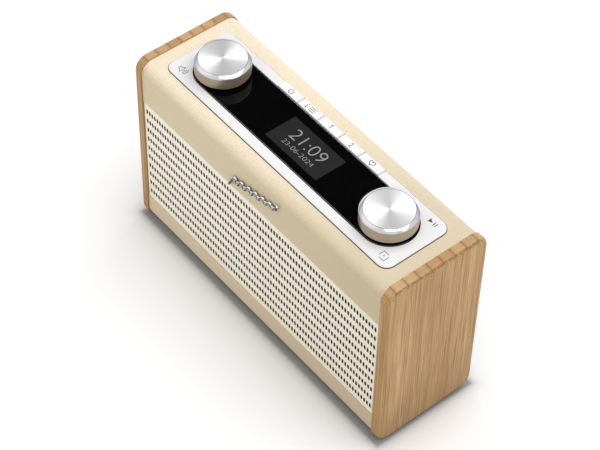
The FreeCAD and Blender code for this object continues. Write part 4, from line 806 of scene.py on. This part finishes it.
CAP_RIM = 0.42 * MM         # height up to which the rim of a cap is upright
CAP_BEVEL = 2.0 * MM        # width of the bright bevel
CAP_DIP = 0.22 * MM         # how far the middle of a cap lies below its edge
CAP_RINGS = 10              # rings that the dip is made of


def knob_caps():
    """Spun caps: a narrow rim, a broad bright bevel and a face that dips to the middle."""
    for side in ("volume", "select"):
        node = side + "_knob_cap"
        low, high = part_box(node)
        centre = (low + high) / 2
        rim = (high.x - low.x) / 2
        face = rim - CAP_BEVEL
        profile = [(rim - 0.12 * MM, low.z, 1), (rim, low.z + 0.12 * MM, 1),
                   (rim, low.z + CAP_RIM, 1), (rim - 0.10 * MM, low.z + CAP_RIM + 0.12 * MM, 1),
                   (face + 0.10 * MM, high.z - 0.06 * MM, 1), (face, high.z, 1),
                   (face - 0.25 * MM, high.z, 0)]
        for step in range(1, CAP_RINGS):
            share = step / CAP_RINGS
            profile.append((face * (1 - share), high.z - CAP_DIP * math.sin(share * math.pi / 2), 0))
        profile.append((0.15 * MM, high.z - CAP_DIP - 0.01 * MM, 0))
        cap = turned(node + "_spun", profile, centre, [FINISHES["spun_metal"], CUT_METAL],
                     side + "_dial")
        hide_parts(node)


PANE_HALF_W = 21.7          # the lit pane of the screen, in millimetres
PANE_HALF_H = 10.7
FIGURES = [  # name, text, and the low and high corner of its box in mm from the pane's middle
    ("screen_time", "21:09", (-13.0, -1.7), (13.6, 6.4)),
    ("screen_date", "23-06-2024", (-12.4, -6.9), (12.6, -3.9))]


def screen():
    """The lit picture of the screen, on the face of the lens."""
    centre = middle("display_module")
    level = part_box("lens_panel")[1].z
    pane = Drawing((centre.x, centre.y, level))
    pane.fill(rounded(PANE_HALF_W, PANE_HALF_H, 0.3))
    pane.done("screen_pane", SCREEN_LIT, "cabinet", "screen_glass")

    def spot(x, y):
        return centre.x + x * MM, centre.y + y * MM

    for name, text, low, high in FIGURES:
        lettering(name, text, spot(*low), spot(*high), level + 0.03 * MM, FIGURE_FILM,
                  FIGURES_LIT, "cabinet", weight=-0.016)


def painted_lens_highlight():
    """A painted highlight: a thin pale line just inside the front edge of the lens, where its bevel
    catches the light.
    """
    low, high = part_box("lens_panel")
    centre = (low + high) / 2
    inset, hairline = 0.8, 0.16
    reach = (high.x - low.x) / 2 / MM
    depth = (high.y - low.y) / 2 / MM - inset
    ends = reach - depth - inset
    outline = Drawing((centre.x, centre.y, high.z))
    left_end = arc(depth, 180, 270, 24, (-ends, 0.0))
    right_end = arc(depth, 270, 360, 24, (ends, 0.0))
    outline.line(left_end + right_end, hairline)
    outline.done("painted_lens_highlight", PALE_INK_AND_HIGHLIGHT, "cabinet", "lens_black")


def plate_marks():
    """Printed marks beside the knobs: loudness, play and pause, and select."""
    low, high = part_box("control_plate")
    line, bar = 0.42, 0.55

    loud = Drawing((low.x + 9.0 * MM, low.y + 6.2 * MM, high.z))
    loud.line([(-2.9, -0.9), (-1.8, -0.9), (-0.2, -2.3), (-0.2, 2.3), (-1.8, 0.9), (-2.9, 0.9)],
              line, closed=True)
    for reach in (1.3, 2.4, 3.5):
        loud.line(arc(reach, -42, 42, 10, (-0.3, 0.0)), line)
    loud.done("mark_loudness", GREY_INK, "cabinet", "black_plastic")

    play = Drawing((high.x - 9.0 * MM, high.y - 5.0 * MM, high.z))
    play.fill([(-3.0, -1.5), (-0.2, 0.0), (-3.0, 1.5)])
    for place in (0.9, 2.3):
        play.line([(place, -1.4), (place, 1.4)], bar)
    play.done("mark_play", DARK_INK, "cabinet", "black_plastic")

    pick = Drawing((high.x - 8.0 * MM, low.y + 6.1 * MM, high.z))
    pick.line([(-2.4, -1.3), (-2.4, 2.4), (1.3, 2.4)], line)
    pick.line([(2.4, 1.3), (2.4, -2.4), (-1.3, -2.4)], line)
    pick.fill(disc(0.45))
    pick.done("mark_select", GREY_INK, "cabinet", "black_plastic")


def key_marks():
    """Printed marks on the five keys, each riding on its own key."""
    line = 0.46

    def face_of(name):
        node = "key_" + name
        centre = middle(node)
        return Vector((centre.x, centre.y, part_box(node)[1].z))

    power = Drawing(face_of("power"))
    power.line(arc(1.6, 125, 415), line)
    power.line([(0, 0.6), (0, 2.2)], line)
    power.done("mark_power", GREY_INK, "power_key", "black_plastic")

    menu = Drawing(face_of("menu"))
    menu.line([(-3.4, -1.4), (-3.4, 0.6)], line)
    menu.line([(-4.0, 0.55), (-3.4, 0.55)], line)
    menu.line([(-4.1, -1.4), (-2.7, -1.4)], line)
    menu.fill(disc(0.32, (-3.4, 1.5), 12))
    for row in (-1.4, 0.0, 1.4):
        menu.line([(-0.9, row), (3.5, row)], line)
    menu.done("mark_menu", GREY_INK, "menu_key", "black_plastic")

    heart = Drawing(face_of("favourite"))
    outline = []
    steps, size = 40, 0.122
    for step in range(steps):
        angle = 2 * math.pi * step / steps
        u = 16 * math.sin(angle) ** 3
        v = (13 * math.cos(angle) - 5 * math.cos(2 * angle)
             - 2 * math.cos(3 * angle) - math.cos(4 * angle))
        outline.append((u * size, v * size + 0.15))
    heart.line(outline, line, closed=True)
    heart.done("mark_favourite", GREY_INK, "favourite_key", "black_plastic")

    one = Drawing(face_of("preset_1"))
    one.line([(-0.75, 0.95), (0.1, 1.65), (0.1, -1.65)], line)
    one.done("mark_preset_1", GREY_INK, "preset_1_key", "black_plastic")

    two = face_of("preset_2")
    half_w, half_h = 1.05 * MM, 1.7 * MM
    low = (two.x - half_w, two.y - half_h)
    high = (two.x + half_w, two.y + half_h)
    lettering("mark_preset_2", "2", low, high, two.z, FIGURE_FILM,
              GREY_INK, "preset_2_key")


def rear_marks():
    """Moulded marks over the sockets at the back: power, phones and service."""
    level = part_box("rear_cover")[1].y
    line, ear_pad = 0.4, 0.85

    def above(node, rise=9.0):
        centre = middle(node)
        return Drawing((centre.x, level, centre.z + rise * MM), (-1, 0, 0), (0, 0, 1), rise=0.12)

    power = above("power_inlet")
    power.line(arc(1.3, 50, 310, 20), line)
    power.fill(disc(0.5))
    power.line([(0.5, 0.0), (3.2, 0.0)], line)
    power.line([(-3.2, 0.0), (-1.3, 0.0)], line)
    power.done("mark_power_in", PALE_INK_AND_HIGHLIGHT, "cabinet", "cover_plastic")

    phones = above("headphone_socket")
    phones.line(arc(1.9, -10, 190), line)
    for side in (-1, 1):
        phones.line([(side * 1.75, -0.2), (side * 1.75, -1.7)], ear_pad)
    phones.done("mark_phones", PALE_INK_AND_HIGHLIGHT, "cabinet", "cover_plastic")

    service = above("service_socket")
    service.line([(0, -2.0), (0, 2.0)], line)
    service.fill([(-0.6, 1.6), (0.6, 1.6), (0.0, 2.7)])
    service.line([(0, -1.2), (1.2, -0.3), (1.2, 0.6)], line)
    service.line([(0, -0.6), (-1.2, 0.3), (-1.2, 1.0)], line)
    service.fill(disc(0.5, (0, -2.0), 14))
    service.done("mark_service", PALE_INK_AND_HIGHLIGHT, "cabinet", "cover_plastic")


SCENE.view_settings.view_transform = "Standard"
place_camera()
light_room()
lay_floor()
dress_nodes()
knob_caps()
screen()
painted_lens_highlight()
plate_marks()
key_marks()
rear_marks()
